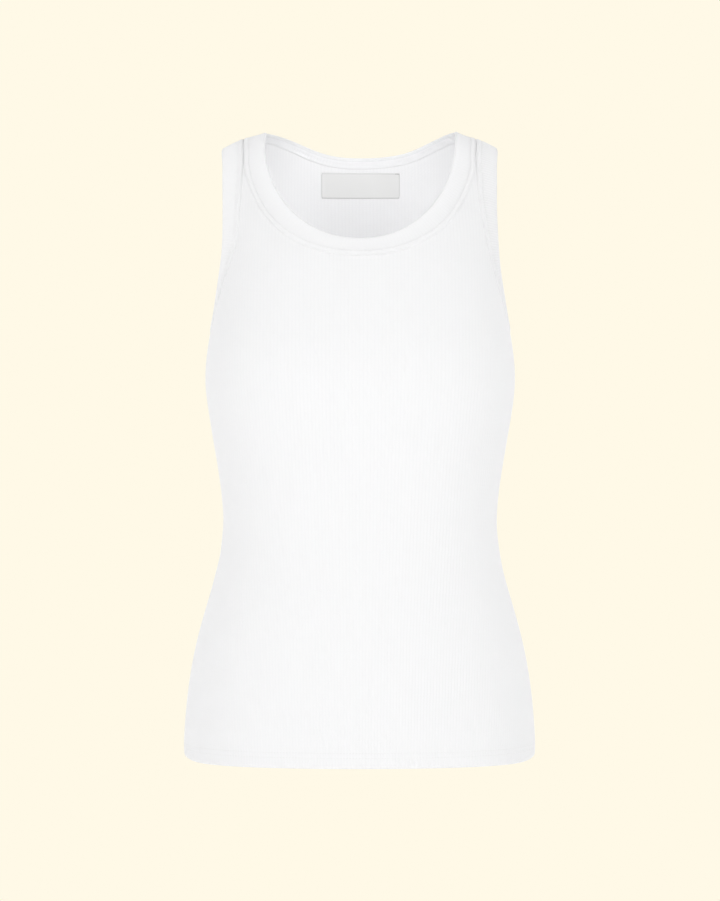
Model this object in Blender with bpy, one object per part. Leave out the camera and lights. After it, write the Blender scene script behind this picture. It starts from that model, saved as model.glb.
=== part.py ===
"""A women's ribbed tank top that keeps the hollow shape it has when it is worn, with nobody in it.

Front and back panels are walls of knit cloth laid on a smooth torso form. Folded bands bind
the neck and both armholes, the lower edge is turned up inside, and a blank label hangs inside
the back neck. The front faces -Y, +X is the right of someone looking at the front, and +Z is up.
The origin lies midway between the straps, level with the underside of the shoulder tops.
Sizes are in millimetres, and to_metres() converts them as a mesh is made.
"""

import math
from typing import NamedTuple

import bmesh
import bpy
import numpy as np

# Cloth, bands and seams
CLOTH = 1.4
BAND_CLOTH = 2.8
BAND_PROUD = 0.7
SEAM_GAP = 0.3
STRAP_GAP = 0.8
NECK_BAND_WIDTH = 19.5
NECK_BAND_STRAP_WIDTH = 22.5
NECK_STRAP_ANGLE = math.radians(31.0)
ARM_BAND_WIDTH = 21.0

# Shoulders: how far the neck points stand over the origin, and where the slope has faded out
SHOULDER_TOP = 10.3
SHOULDER_FADE = 160.0

# Neck opening, measured from the neck points on top of the shoulders. The front is half of a
# slightly squared ellipse, and the back dips from flat shoulders to a round middle.
NECK_HALF_WIDTH = 91.0
FRONT_NECK_DROP = 105.5
FRONT_NECK_SQUARENESS = 2.1
BACK_NECK_DROP = 17.5
BACK_NECK_ROUNDNESS = 2.5
BACK_NECK_FLATNESS = 2.4

# Lower edge and side seams
SIDE_SEAM_ANGLE = math.radians(98.0)
HEM_TURN = 15.0
FRONT_STRAP_COLUMN = math.radians(46.0)
BACK_STRAP_COLUMN = math.radians(136.0)
COLUMN_BEND = 1.7
ROW_CROWDING = 1.35
TIP_CLEARANCE = 0.4

# Label inside the back neck, with its heights measured from the neck points too
LABEL_WIDTH = 76.0
LABEL_TOP = -32.2
LABEL_BOTTOM = -55.6
LABEL_THICKNESS = 1.0
LABEL_CLEARANCE = 1.2

# How finely each piece is divided
NECK_FRONT_STATIONS = 9
NECK_STRAP_STATIONS = 7
NECK_BACK_STATIONS = 8
ARM_FRONT_STATIONS = 17
ARM_BACK_STATIONS = 16
PANEL_ROWS = 16
LABEL_COLUMNS = 10
LABEL_ROWS = 3

# Rows across a band, as shares of its width from the finished edge
BAND_ROWS = (BAND_CLOTH / 2 / ARM_BAND_WIDTH, 0.36, 0.70, 1.0)

# How closely paths over the form are worked out
DENSE_STATIONS = 700
WALK_STEPS = 6
NARROWING_PASSES = 12
FIND_PASSES = 40
SLOPE_STEP = 1e-4
ARM_OVERLAP_ROWS = 3

MIRROR = np.array([-1.0, 1.0, 1.0])
SMOOTH_ANGLE = math.radians(50.0)

KNIT_WHITE = (0.90, 0.90, 0.905, 1.0)
LABEL_WHITE = (0.80, 0.80, 0.79, 1.0)
KNIT_ROUGHNESS = 0.85
LABEL_ROUGHNESS = 0.55


class Section(NamedTuple):
    """One level section of the form: how far its middle lies below the ridge, and its shape."""

    below_ridge: float
    half_width: float
    front: float
    side: float
    back: float
    squareness: float


SECTIONS = (
    Section(0.0, 162.0, 0.0, 0.0, 0.0, 0.030),
    Section(3.0, 161.5, -11.0, 0.0, 11.0, 0.030),
    Section(12.0, 158.0, -25.0, 0.0, 24.0, 0.030),
    Section(30.0, 151.0, -43.0, -3.0, 41.0, 0.030),
    Section(60.0, 142.0, -66.0, -8.0, 60.0, 0.030),
    Section(100.0, 135.5, -91.0, -16.0, 76.0, 0.035),
    Section(135.0, 134.2, -109.0, -22.0, 84.0, 0.040),
    Section(165.0, 137.2, -120.0, -26.0, 88.0, 0.040),
    Section(195.0, 142.2, -130.0, -28.0, 90.0, 0.040),
    Section(232.0, 145.8, -136.0, -27.0, 88.0, 0.040),
    Section(280.0, 140.7, -128.0, -22.0, 81.0, 0.035),
    Section(330.0, 132.5, -113.0, -15.0, 71.0, 0.030),
    Section(372.0, 129.8, -105.0, -12.0, 66.0, 0.030),
    Section(420.0, 137.5, -107.0, -10.0, 74.0, 0.030),
    Section(470.0, 151.5, -113.0, -9.0, 90.0, 0.030),
    Section(530.0, 162.5, -118.0, -9.0, 105.0, 0.030),
    Section(589.0, 166.8, -121.0, -9.0, 112.0, 0.030),
)


class ShoulderPoint(NamedTuple):
    """One point of the shoulder line: its reach from the middle and its rise over the neck point."""

    across: float
    rise: float


SHOULDER_LINE = (
    ShoulderPoint(0.0, 36.0),
    ShoulderPoint(30.0, 32.5),
    ShoulderPoint(57.0, 22.0),
    ShoulderPoint(76.0, 10.5),
    ShoulderPoint(91.0, 0.0),
    ShoulderPoint(110.0, -8.2),
    ShoulderPoint(131.0, -16.5),
    ShoulderPoint(165.0, -31.0),
)


class ArmholePoint(NamedTuple):
    """One point of the armhole's finished edge: depth below the ridge, and degrees from the front."""

    below_ridge: float
    degrees: float


ARMHOLE_EDGE = (
    ArmholePoint(0.0, 50.0),
    ArmholePoint(10.0, 51.4),
    ArmholePoint(28.0, 54.9),
    ArmholePoint(65.0, 62.9),
    ArmholePoint(98.0, 69.6),
    ArmholePoint(130.0, 76.6),
    ArmholePoint(151.0, 83.0),
    ArmholePoint(166.0, 90.5),
    ArmholePoint(172.0, 98.0),
    ArmholePoint(168.0, 106.0),
    ArmholePoint(153.0, 112.5),
    ArmholePoint(130.0, 116.5),
    ArmholePoint(98.0, 119.5),
    ArmholePoint(65.0, 122.0),
    ArmholePoint(28.0, 126.0),
    ArmholePoint(10.0, 128.8),
)
ARMHOLE_BOTTOM = 8


def to_metres(points):
    """Millimetres to the scene's metres."""
    return np.asarray(points) * 0.001


def spline(knots, values):
    """A natural cubic spline through the values, as a function of the knots' coordinate."""
    knots = np.asarray(knots, float)
    values = np.asarray(values, float)
    gaps = np.diff(knots)
    system = np.eye(len(knots))
    right = np.zeros(len(knots))
    for i in range(1, len(knots) - 1):
        system[i, i - 1 : i + 2] = gaps[i - 1], 2 * (gaps[i - 1] + gaps[i]), gaps[i]
        rise_after = (values[i + 1] - values[i]) / gaps[i]
        rise_before = (values[i] - values[i - 1]) / gaps[i - 1]
        right[i] = 6 * (rise_after - rise_before)
    bends = np.linalg.solve(system, right)

    def at(where):
        where = np.asarray(where, float)
        i = np.clip(np.searchsorted(knots, where) - 1, 0, len(gaps) - 1)
        before = (knots[i + 1] - where) / gaps[i]
        after = (where - knots[i]) / gaps[i]
        straight = before * values[i] + after * values[i + 1]
        bend = (before**3 - before) * bends[i] + (after**3 - after) * bends[i + 1]
        return straight + bend * gaps[i] ** 2 / 6

    return at


def smooth_step(share):
    """A soft ramp from 0 to 1."""
    share = np.clip(share, 0, 1)
    return share * share * (3 - 2 * share)


class TorsoForm:
    """The smooth shape that the cloth takes.

    A point of it is named by its level, the square root of its section's depth below the ridge,
    and its angle round the section from the middle of the front. A negative level is over the
    ridge, on the other side, so a path can run over the shoulder.
    """

    def __init__(self):
        levels = [math.sqrt(row.below_ridge) for row in SECTIONS]
        self.signed_levels = [-level for level in levels[:0:-1]] + levels
        self.half_width = self.column("half_width", "half_width")
        self.side = self.column("side", "side")
        self.squareness = self.column("squareness", "squareness")
        self.depth = self.column("front", "back")
        line = [(-p.across, p.rise) for p in SHOULDER_LINE[:0:-1]] + list(SHOULDER_LINE)
        self.rise = spline([p[0] for p in line], [p[1] for p in line])

    def column(self, before, after):
        """The spline of one column of the sections, its front rows first and then its back rows."""
        front = [getattr(row, before) for row in SECTIONS[:0:-1]]
        return spline(self.signed_levels, front + [getattr(row, after) for row in SECTIONS])

    def point(self, level, angle):
        """The point of the form at this level and angle."""
        angle = np.where(level < 0, math.pi - angle, angle)
        level = np.abs(level)
        square = self.squareness(level)
        sideways = (1 + square) * np.sin(angle) + square * np.sin(3 * angle)
        forward = (1 + square) * np.cos(angle) - square * np.cos(3 * angle)
        side = self.side(level)
        depth = np.where(np.cos(angle) >= 0, self.depth(-level), self.depth(level))
        x = self.half_width(level) * sideways
        y = side + np.abs(forward) * (depth - side)
        fade = smooth_step(1 - level**2 / SHOULDER_FADE)
        z = SHOULDER_TOP - level**2 + fade * self.rise(x)
        return np.stack([x, y, z], axis=-1)

    def slopes(self, level, angle):
        """How the point moves with its level and with its angle."""
        step = SLOPE_STEP
        by_level = self.point(level + step, angle) - self.point(level - step, angle)
        by_angle = self.point(level, angle + step) - self.point(level, angle - step)
        return by_level / (2 * step), by_angle / (2 * step)

    def normal(self, level, angle):
        """The outward normal."""
        across = np.cross(*self.slopes(level, angle))
        return across / np.linalg.norm(across, axis=-1, keepdims=True)

    def lifted(self, level, angle, offset):
        """The point moved out of the form by the offset."""
        return self.point(level, angle) + offset * self.normal(level, angle)

    def walk(self, level, angle, heading, distance):
        """The level and angle reached by walking the distance over the form along the heading."""
        heading = np.array(heading, float)
        stride = np.asarray(distance, float) / WALK_STEPS
        for _ in range(WALK_STEPS):
            by_level, by_angle = self.slopes(level, angle)
            normal = self.normal(level, angle)
            heading = heading - np.sum(heading * normal, -1, keepdims=True) * normal
            heading = heading / np.linalg.norm(heading, axis=-1, keepdims=True)
            a = np.sum(by_level * by_level, -1)
            b = np.sum(by_level * by_angle, -1)
            c = np.sum(by_angle * by_angle, -1)
            down = np.sum(by_level * heading, -1)
            along = np.sum(by_angle * heading, -1)
            spread = a * c - b * b
            level = level + stride * (c * down - b * along) / spread
            angle = angle + stride * (a * along - b * down) / spread
        return level, angle

    def find(self, x, height, behind):
        """The level and angle of the point this far across and this high over the neck points."""
        below = np.zeros_like(x)
        for _ in range(FIND_PASSES):
            fade = smooth_step(1 - below / SHOULDER_FADE)
            below = np.maximum(fade * self.rise(x) - height, 0)
        level = np.sqrt(below)
        square = self.squareness(level)
        share = x / self.half_width(level)
        angle = np.arcsin(share)
        for _ in range(FIND_PASSES):
            error = (1 + square) * np.sin(angle) + square * np.sin(3 * angle) - share
            slope = (1 + square) * np.cos(angle) + 3 * square * np.cos(3 * angle)
            angle = angle - error / slope
        return np.where(behind, -level, level), angle


FORM = TorsoForm()


def spaced(level, angle, count):
    """Stations at even distances along a path that is given densely."""
    points = FORM.point(level, angle)
    steps = np.linalg.norm(np.diff(points, axis=0), axis=1)
    run = np.concatenate([[0], np.cumsum(steps)])
    even = np.linspace(0, run[-1], count + 1)
    return np.interp(even, run, level), np.interp(even, run, angle)


def neck_edge():
    """The neck's finished edge, from the middle of the front over the right shoulder to the back."""
    share = np.linspace(0, 1, DENSE_STATIONS)
    turn = np.arccos((1 - share) ** 2)
    power = 2 / FRONT_NECK_SQUARENESS
    across = NECK_HALF_WIDTH * np.sin(turn) ** power
    front = FORM.find(across, -FRONT_NECK_DROP * np.cos(turn) ** power, False)
    reach = np.cos(share[1:] * math.pi / 2)
    dip = (1 - reach**BACK_NECK_ROUNDNESS) ** BACK_NECK_FLATNESS
    back = FORM.find(NECK_HALF_WIDTH * reach, -BACK_NECK_DROP * dip, True)
    level, angle = (np.concatenate([a, b]) for a, b in zip(front, back))
    return spaced(level, angle, DENSE_STATIONS)


def armhole_edge():
    """The right armhole's finished edge: down the front from the shoulder, then up the back."""
    rows = [(math.sqrt(row.below_ridge), math.radians(row.degrees)) for row in ARMHOLE_EDGE]
    over = [(-level, math.pi - angle) for level, angle in rows]
    first = ARM_OVERLAP_ROWS
    path = np.array(over[-first:] + rows + over[: first + 1])
    points = FORM.point(path[:, 0], path[:, 1])
    run = np.concatenate([[0], np.cumsum(np.linalg.norm(np.diff(points, axis=0), axis=1))])
    level = spline(run, path[:, 0])
    angle = spline(run, path[:, 1])
    bottom = run[first + ARMHOLE_BOTTOM]
    front = np.linspace(run[first], bottom, DENSE_STATIONS)
    back = np.linspace(bottom, run[first + len(rows)], DENSE_STATIONS)
    front = spaced(level(front), angle(front), ARM_FRONT_STATIONS)
    back = spaced(level(back), angle(back), ARM_BACK_STATIONS)
    return tuple(np.concatenate([a, b[1:-1]]) for a, b in zip(front, back))


def into_cloth(level, angle, closed):
    """The direction from each station of a finished edge into the cloth, square to the edge."""
    points = FORM.point(level, angle)
    if closed:
        along = np.roll(points, -1, axis=0) - np.roll(points, 1, axis=0)
    else:
        padded = np.vstack([points[1] * MIRROR, points, points[-2] * MIRROR])
        along = padded[2:] - padded[:-2]
    return np.cross(along, FORM.normal(level, angle))


class Edge:
    """A finished edge, with the direction into its cloth and the width of its band."""

    def __init__(self, path, closed, width):
        self.level, self.angle = path
        self.heading = into_cloth(self.level, self.angle, closed)
        self.width = np.broadcast_to(width, self.level.shape).astype(float)

    def at(self, distance):
        """The level and angle of every station, this far into the cloth."""
        return FORM.walk(self.level, self.angle, self.heading, distance)

    def seam(self):
        """The level and angle of every station where the panel begins, past the band."""
        return self.at(self.width + SEAM_GAP)

    def narrow(self, limit):
        """Narrow the band where the strap has no room for its full width, and say where."""
        narrowed = np.zeros(len(self.level), bool)
        for _ in range(NARROWING_PASSES):
            level, angle = self.at(self.width)
            over = FORM.point(level, angle)[:, 0] - limit(level)
            narrowed |= over > 0
            self.width = self.width - np.maximum(over, 0)
        return narrowed


def armhole_band():
    """The right armhole's edge with its band."""
    return Edge(armhole_edge(), True, ARM_BAND_WIDTH)


def neck_width(angle):
    """The neck band's width: it lies widest on the straps, and is drawn in round the curves."""
    share = smooth_step(angle / NECK_STRAP_ANGLE)
    return NECK_BAND_WIDTH + (NECK_BAND_STRAP_WIDTH - NECK_BAND_WIDTH) * share


def strap_limit(arm):
    """How far out the neck band may reach on the strap, by signed level: just short of the other."""
    level, angle = arm.at(arm.width)
    across = FORM.point(level, angle)[:, 0] - STRAP_GAP
    signed = np.where(angle > math.pi / 2, -level, level)
    order = np.argsort(signed)
    return lambda where: np.interp(where, signed[order], across[order])


def neck_band(arm):
    """The right half of the neck's edge with its band, and the stations where the bands part.

    Dense stations find where the strap starts to be covered by both bands, front and back, and
    the neck band then gets a station at each of those two places.
    """
    level, angle = neck_edge()
    limit = strap_limit(arm)
    dense = Edge((level, angle), False, neck_width(angle))
    covered = np.flatnonzero(dense.narrow(limit))
    first, last = covered[0], covered[-1]
    legs = (
        (0, first, NECK_FRONT_STATIONS),
        (first, last, NECK_STRAP_STATIONS),
        (last, len(level) - 1, NECK_BACK_STATIONS),
    )
    stations = [spaced(level[a : b + 1], angle[a : b + 1], n) for a, b, n in legs]
    joined = tuple(
        np.concatenate([leg[i][1:] if k else leg[i] for k, leg in enumerate(stations)])
        for i in range(2)
    )
    band = Edge(joined, False, neck_width(joined[1]))
    band.narrow(limit)
    return band


def band_rings(edge):
    """The rows of points round a folded band: its outer face, its inner face, then its fold."""
    outer = BAND_PROUD
    inner = BAND_PROUD - BAND_CLOTH
    rows = [(share, outer) for share in BAND_ROWS]
    rows += [(share, inner) for share in BAND_ROWS[::-1]]
    rows.append((0.0, (outer + inner) / 2))
    return [FORM.lifted(*edge.at(edge.width * share), offset) for share, offset in rows]


def grid_faces(mesh, rows, wrap_columns):
    """Quads over rows of vertices, the last row joined to the first, and so the columns if asked."""
    columns = len(rows[0])
    column_count = columns if wrap_columns else columns - 1
    for upper, lower in zip(rows, rows[1:] + rows[:1]):
        for j in range(column_count):
            k = (j + 1) % columns
            mesh.faces.new((upper[j], upper[k], lower[k], lower[j]))


def cap_end(mesh, ends, paired):
    """Close the end of a wall, given the end vertices of the rows that wrap round it.

    The first rows, this many, lie across the wall from the last ones, so quads join them in
    turn. The rows between them, as round a turned hem, close with one face.
    """
    for i in range(paired - 1):
        mesh.faces.new((ends[i], ends[i + 1], ends[-2 - i], ends[-1 - i]))
    between = ends[paired - 1 : len(ends) - paired + 1]
    if len(between) > 2:
        mesh.faces.new(between)


def add_object(name, rows, paired, colour, roughness):
    """A closed solid from rows of points that wrap round it.

    The columns also close on themselves where paired is 0. Otherwise it is how many of the
    first rows face the last ones across the wall.
    """
    mesh = bmesh.new()
    vertices = [[mesh.verts.new(point) for point in to_metres(row)] for row in rows]
    grid_faces(mesh, vertices, paired == 0)
    if paired:
        for j in (0, -1):
            cap_end(mesh, [row[j] for row in vertices], paired)
    bmesh.ops.recalc_face_normals(mesh, faces=mesh.faces)
    bmesh.ops.triangulate(mesh, faces=mesh.faces, ngon_method="EAR_CLIP")
    data = bpy.data.meshes.new(name)
    mesh.to_mesh(data)
    mesh.free()
    data.shade_smooth()
    data.set_sharp_from_angle(angle=SMOOTH_ANGLE)
    data.materials.append(make_material(name, colour, roughness))
    bpy.context.scene.collection.objects.link(bpy.data.objects.new(name, data))


def make_material(name, colour, roughness):
    """A plain matt finish for one piece."""
    material = bpy.data.materials.new(name)
    material.use_nodes = True
    shader = material.node_tree.nodes["Principled BSDF"]
    shader.inputs["Base Color"].default_value = colour
    shader.inputs["Roughness"].default_value = roughness
    shader.inputs["Metallic"].default_value = 0.0
    return material


def add_bands(neck, arm):
    """The neck band, and the armhole bands on both sides."""
    rings = [np.vstack([row, row[-2:0:-1] * MIRROR]) for row in band_rings(neck)]
    add_object("neck_band", rings, 0, KNIT_WHITE, KNIT_ROUGHNESS)
    rings = band_rings(arm)
    add_object("armhole_band_right", rings, 0, KNIT_WHITE, KNIT_ROUGHNESS)
    mirrored = [row * MIRROR for row in rings]
    add_object("armhole_band_left", mirrored, 0, KNIT_WHITE, KNIT_ROUGHNESS)


def top_of_panel(neck, arm, behind):
    """The right half of a panel's upper edge, from its middle over the strap to the side seam.

    It also gives the angles at which the columns under these stations reach the lower edge.
    """
    neck_level, neck_angle = neck.seam()
    arm_level, arm_angle = arm.seam()
    if behind:
        along_neck = slice(None, -NECK_BACK_STATIONS - 2, -1)
        along_arm = np.arange(len(arm_level) - 1, ARM_FRONT_STATIONS - 1, -1)
    else:
        along_neck = slice(0, NECK_FRONT_STATIONS + 1)
        along_arm = np.arange(0, ARM_FRONT_STATIONS + 1)
    strap_tip = abs(neck_level[along_neck][-1])
    below_tip = along_arm[arm_level[along_arm] > strap_tip + TIP_CLEARANCE]
    level = np.concatenate([neck_level[along_neck], arm_level[below_tip]])
    angle = np.concatenate([neck_angle[along_neck], arm_angle[below_tip]])
    angle = np.where(level < 0, math.pi - angle, angle)
    middle, strap = (math.pi, BACK_STRAP_COLUMN) if behind else (0.0, FRONT_STRAP_COLUMN)
    under_neck = np.linspace(middle, strap, len(level) - len(below_tip))
    under_arm = np.linspace(strap, SIDE_SEAM_ANGLE, len(below_tip) + 1)[1:]
    return np.abs(level), angle, np.concatenate([under_neck, under_arm])


def side_gap(level, angle):
    """Half the seam gap, as an angle round the form."""
    return SEAM_GAP / 2 / np.linalg.norm(FORM.slopes(level, angle)[1], axis=-1)


def panel_rows(neck, arm, behind):
    """The rows of points that wrap round a panel, from its top down its face and up its inside."""
    level, angle, hem_angle = top_of_panel(neck, arm, behind)
    top = level**2
    hem = SECTIONS[-1].below_ridge
    toward_middle = 1 if behind else -1

    def row(below, bend, offset):
        """A row at these depths, as bent as the top edge or as even as the hem."""
        here = hem_angle + (angle - hem_angle) * bend
        depth = np.sqrt(below)
        here[-1] += toward_middle * side_gap(depth[-1:], here[-1:])[0]
        half = FORM.lifted(depth, here, offset)
        return np.vstack([half[:0:-1] * MIRROR, half])

    def body_row(share, offset):
        """A row this share of the way from the top edge to the top of the turned hem."""
        return row(top + (hem - HEM_TURN - top) * share, (1 - share) ** COLUMN_BEND, offset)

    def hem_row(above, offset):
        """A row this high above the lower edge."""
        return row(np.full_like(top, hem - above), 0.0, offset)

    shares = np.linspace(0, 1, PANEL_ROWS) ** ROW_CROWDING
    behind_cloth = -CLOTH - SEAM_GAP
    facing = behind_cloth - CLOTH
    rows = [body_row(share, 0.0) for share in shares]
    rows += [hem_row(CLOTH / 2, 0.0), hem_row(0.0, -CLOTH / 2)]
    rows += [hem_row(0.0, facing + CLOTH / 2), hem_row(CLOTH / 2, facing)]
    rows += [hem_row(HEM_TURN, facing), hem_row(HEM_TURN, behind_cloth)]
    rows += [hem_row(CLOTH, behind_cloth), hem_row(CLOTH, -CLOTH)]
    return rows + [body_row(share, -CLOTH) for share in shares[::-1]]


def add_panels(neck, arm):
    """The front and back panels, each with its lower edge turned up inside."""
    for name, behind in (("front_panel", False), ("back_panel", True)):
        rows = panel_rows(neck, arm, behind)
        add_object(name, rows, PANEL_ROWS, KNIT_WHITE, KNIT_ROUGHNESS)


def add_label():
    """The blank label, upright and straight, just inside the back panel below the neck band."""
    across = np.linspace(-LABEL_WIDTH / 2, LABEL_WIDTH / 2, LABEL_COLUMNS + 1)
    heights = np.linspace(LABEL_TOP, LABEL_BOTTOM, LABEL_ROWS + 1)
    places = [FORM.find(across, height, True) for height in heights]
    offset = -CLOTH - LABEL_CLEARANCE
    outer = [FORM.lifted(*place, offset) for place in places]
    inner = [FORM.lifted(*place, offset - LABEL_THICKNESS) for place in places[::-1]]
    add_object("neck_label", outer + inner, LABEL_ROWS + 1, LABEL_WHITE, LABEL_ROUGHNESS)


def main():
    """Clear the scene and build every piece."""
    for leftover in list(bpy.data.objects):
        bpy.data.objects.remove(leftover)
    arm = armhole_band()
    neck = neck_band(arm)
    add_bands(neck, arm)
    add_panels(neck, arm)
    add_label()


main()
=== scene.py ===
"""The looks of a women's white rib-knit tank top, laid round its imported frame.

Every piece of cloth is a thin shell on the smooth torso form that the frame's solids are built on.
The front and back panels carry their ribs, their soft creases and a turned-up hem. Folded bands,
ribbed across, bind the neck and both armholes. Rows of thread hold them, and a bare woven label
hangs inside the back neck. The front faces -Y, +X is the right of someone looking at the front,
and +Z is up. Sizes are in millimetres, and metres() converts them as a mesh is made. Only the
studio's sizes and the cloth's flat sizes are in metres.
"""

import logging
import math
from dataclasses import dataclass, field
from enum import Enum
from typing import Callable, Iterable, NamedTuple, Sequence

import bmesh
import bpy
import numpy as np
from mathutils import Matrix, Vector


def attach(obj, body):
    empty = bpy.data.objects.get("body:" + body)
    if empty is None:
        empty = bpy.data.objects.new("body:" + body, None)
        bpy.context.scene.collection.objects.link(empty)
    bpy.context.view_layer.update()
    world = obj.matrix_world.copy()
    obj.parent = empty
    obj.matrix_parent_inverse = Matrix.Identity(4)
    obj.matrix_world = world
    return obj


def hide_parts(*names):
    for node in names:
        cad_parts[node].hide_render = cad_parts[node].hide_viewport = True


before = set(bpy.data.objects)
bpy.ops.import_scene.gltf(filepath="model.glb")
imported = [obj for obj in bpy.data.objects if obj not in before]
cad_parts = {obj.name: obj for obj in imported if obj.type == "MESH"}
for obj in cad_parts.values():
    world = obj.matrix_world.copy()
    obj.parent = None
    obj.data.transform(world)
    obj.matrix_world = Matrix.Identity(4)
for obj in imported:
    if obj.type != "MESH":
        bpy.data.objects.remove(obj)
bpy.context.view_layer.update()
BODY = "root"

log = logging.getLogger("tank_top")
Array = np.ndarray
MM = 0.001

# The construction that the frame's solids share
SHOULDER_TOP = 10.3
SHOULDER_FADE = 160.0
NECK_HALF_WIDTH = 91.0
FRONT_NECK_DROP = 105.5
FRONT_NECK_SQUARENESS = 2.1
BACK_NECK_DROP = 17.5
BACK_NECK_ROUNDNESS = 2.5
BACK_NECK_FLATNESS = 2.4
NECK_BAND_WIDTH = 19.5
NECK_BAND_TRIM = 1.5
NECK_BAND_STRAP_WIDTH = 22.5
NECK_STRAP_ANGLE = math.radians(31.0)
ARM_BAND_WIDTH = 21.0
STRAP_GAP = 0.8
SIDE_SEAM_ANGLE = math.radians(98.0)
FRONT_STRAP_COLUMN = math.radians(46.0)
BACK_STRAP_COLUMN = math.radians(136.0)
HEM_TURN = 15.0
HEM_STITCH_HEIGHTS = (14.2, 9.8)

# How closely paths over the form are worked out
DENSE_STATIONS = 700
WALK_STEPS = 6
NARROWING_PASSES = 12
FIND_PASSES = 40
SLOPE_STEP = 1e-4
ARM_OVERLAP_ROWS = 3
CUT_SNAP = 1e-5
MERGE_DISTANCE = 1e-6

MIRROR = np.array([-1.0, 1.0, 1.0])
BODY_MIDDLE = np.array([0.0, 0.0, -300.0])


class Section(NamedTuple):
    """One level section of the form: how far its middle lies below the ridge, and its shape."""

    below_ridge: float
    half_width: float
    front: float
    side: float
    back: float
    squareness: float


SECTIONS = (
    Section(0.0, 162.0, 0.0, 0.0, 0.0, 0.030),
    Section(3.0, 161.5, -11.0, 0.0, 11.0, 0.030),
    Section(12.0, 158.0, -25.0, 0.0, 24.0, 0.030),
    Section(30.0, 151.0, -43.0, -3.0, 41.0, 0.030),
    Section(60.0, 142.0, -66.0, -8.0, 60.0, 0.030),
    Section(100.0, 135.5, -91.0, -16.0, 76.0, 0.035),
    Section(135.0, 134.2, -109.0, -22.0, 84.0, 0.040),
    Section(165.0, 137.2, -120.0, -26.0, 88.0, 0.040),
    Section(195.0, 142.2, -130.0, -28.0, 90.0, 0.040),
    Section(232.0, 145.8, -136.0, -27.0, 88.0, 0.040),
    Section(280.0, 140.7, -128.0, -22.0, 81.0, 0.035),
    Section(330.0, 132.5, -113.0, -15.0, 71.0, 0.030),
    Section(372.0, 129.8, -105.0, -12.0, 66.0, 0.030),
    Section(420.0, 137.5, -107.0, -10.0, 74.0, 0.030),
    Section(470.0, 151.5, -113.0, -9.0, 90.0, 0.030),
    Section(530.0, 162.5, -118.0, -9.0, 105.0, 0.030),
    Section(589.0, 166.8, -121.0, -9.0, 112.0, 0.030),
)
HEM = SECTIONS[-1].below_ridge


class ShoulderPoint(NamedTuple):
    """One point of the shoulder line: its reach from the middle and its rise over the neck point."""

    across: float
    rise: float


SHOULDER_LINE = (
    ShoulderPoint(0.0, 36.0),
    ShoulderPoint(30.0, 32.5),
    ShoulderPoint(57.0, 22.0),
    ShoulderPoint(76.0, 10.5),
    ShoulderPoint(91.0, 0.0),
    ShoulderPoint(110.0, -8.2),
    ShoulderPoint(131.0, -16.5),
    ShoulderPoint(165.0, -31.0),
)


class ArmholePoint(NamedTuple):
    """One point of the armhole's finished edge: depth below the ridge, and degrees from the front."""

    below_ridge: float
    degrees: float


ARMHOLE_EDGE = (
    ArmholePoint(0.0, 50.0),
    ArmholePoint(10.0, 51.4),
    ArmholePoint(28.0, 54.9),
    ArmholePoint(65.0, 62.9),
    ArmholePoint(98.0, 69.6),
    ArmholePoint(130.0, 76.6),
    ArmholePoint(151.0, 83.0),
    ArmholePoint(166.0, 90.5),
    ArmholePoint(172.0, 98.0),
    ArmholePoint(168.0, 106.0),
    ArmholePoint(153.0, 112.5),
    ArmholePoint(130.0, 116.5),
    ArmholePoint(98.0, 119.5),
    ArmholePoint(65.0, 122.0),
    ArmholePoint(28.0, 126.0),
    ArmholePoint(10.0, 128.8),
)


class RibPitch(NamedTuple):
    """How far apart the panels' ribs lie at one depth below the ridge, as the body stretches them."""

    below_ridge: float
    pitch: float


RIB_PITCHES = (
    RibPitch(0.0, 3.40),
    RibPitch(120.0, 3.43),
    RibPitch(232.0, 3.43),
    RibPitch(372.0, 3.15),
    RibPitch(470.0, 2.90),
    RibPitch(589.0, 2.75),
)


class Crease(NamedTuple):
    """A soft trough in the cloth, or a ridge where its depth is below zero.

    Its ends are placed by degrees round from the middle of the front, positive towards +X, and
    by depth below the ridge. It bows sideways between them.
    """

    degrees: float
    below: float
    end_degrees: float
    end_below: float
    width: float
    depth: float
    bow: float


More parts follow.
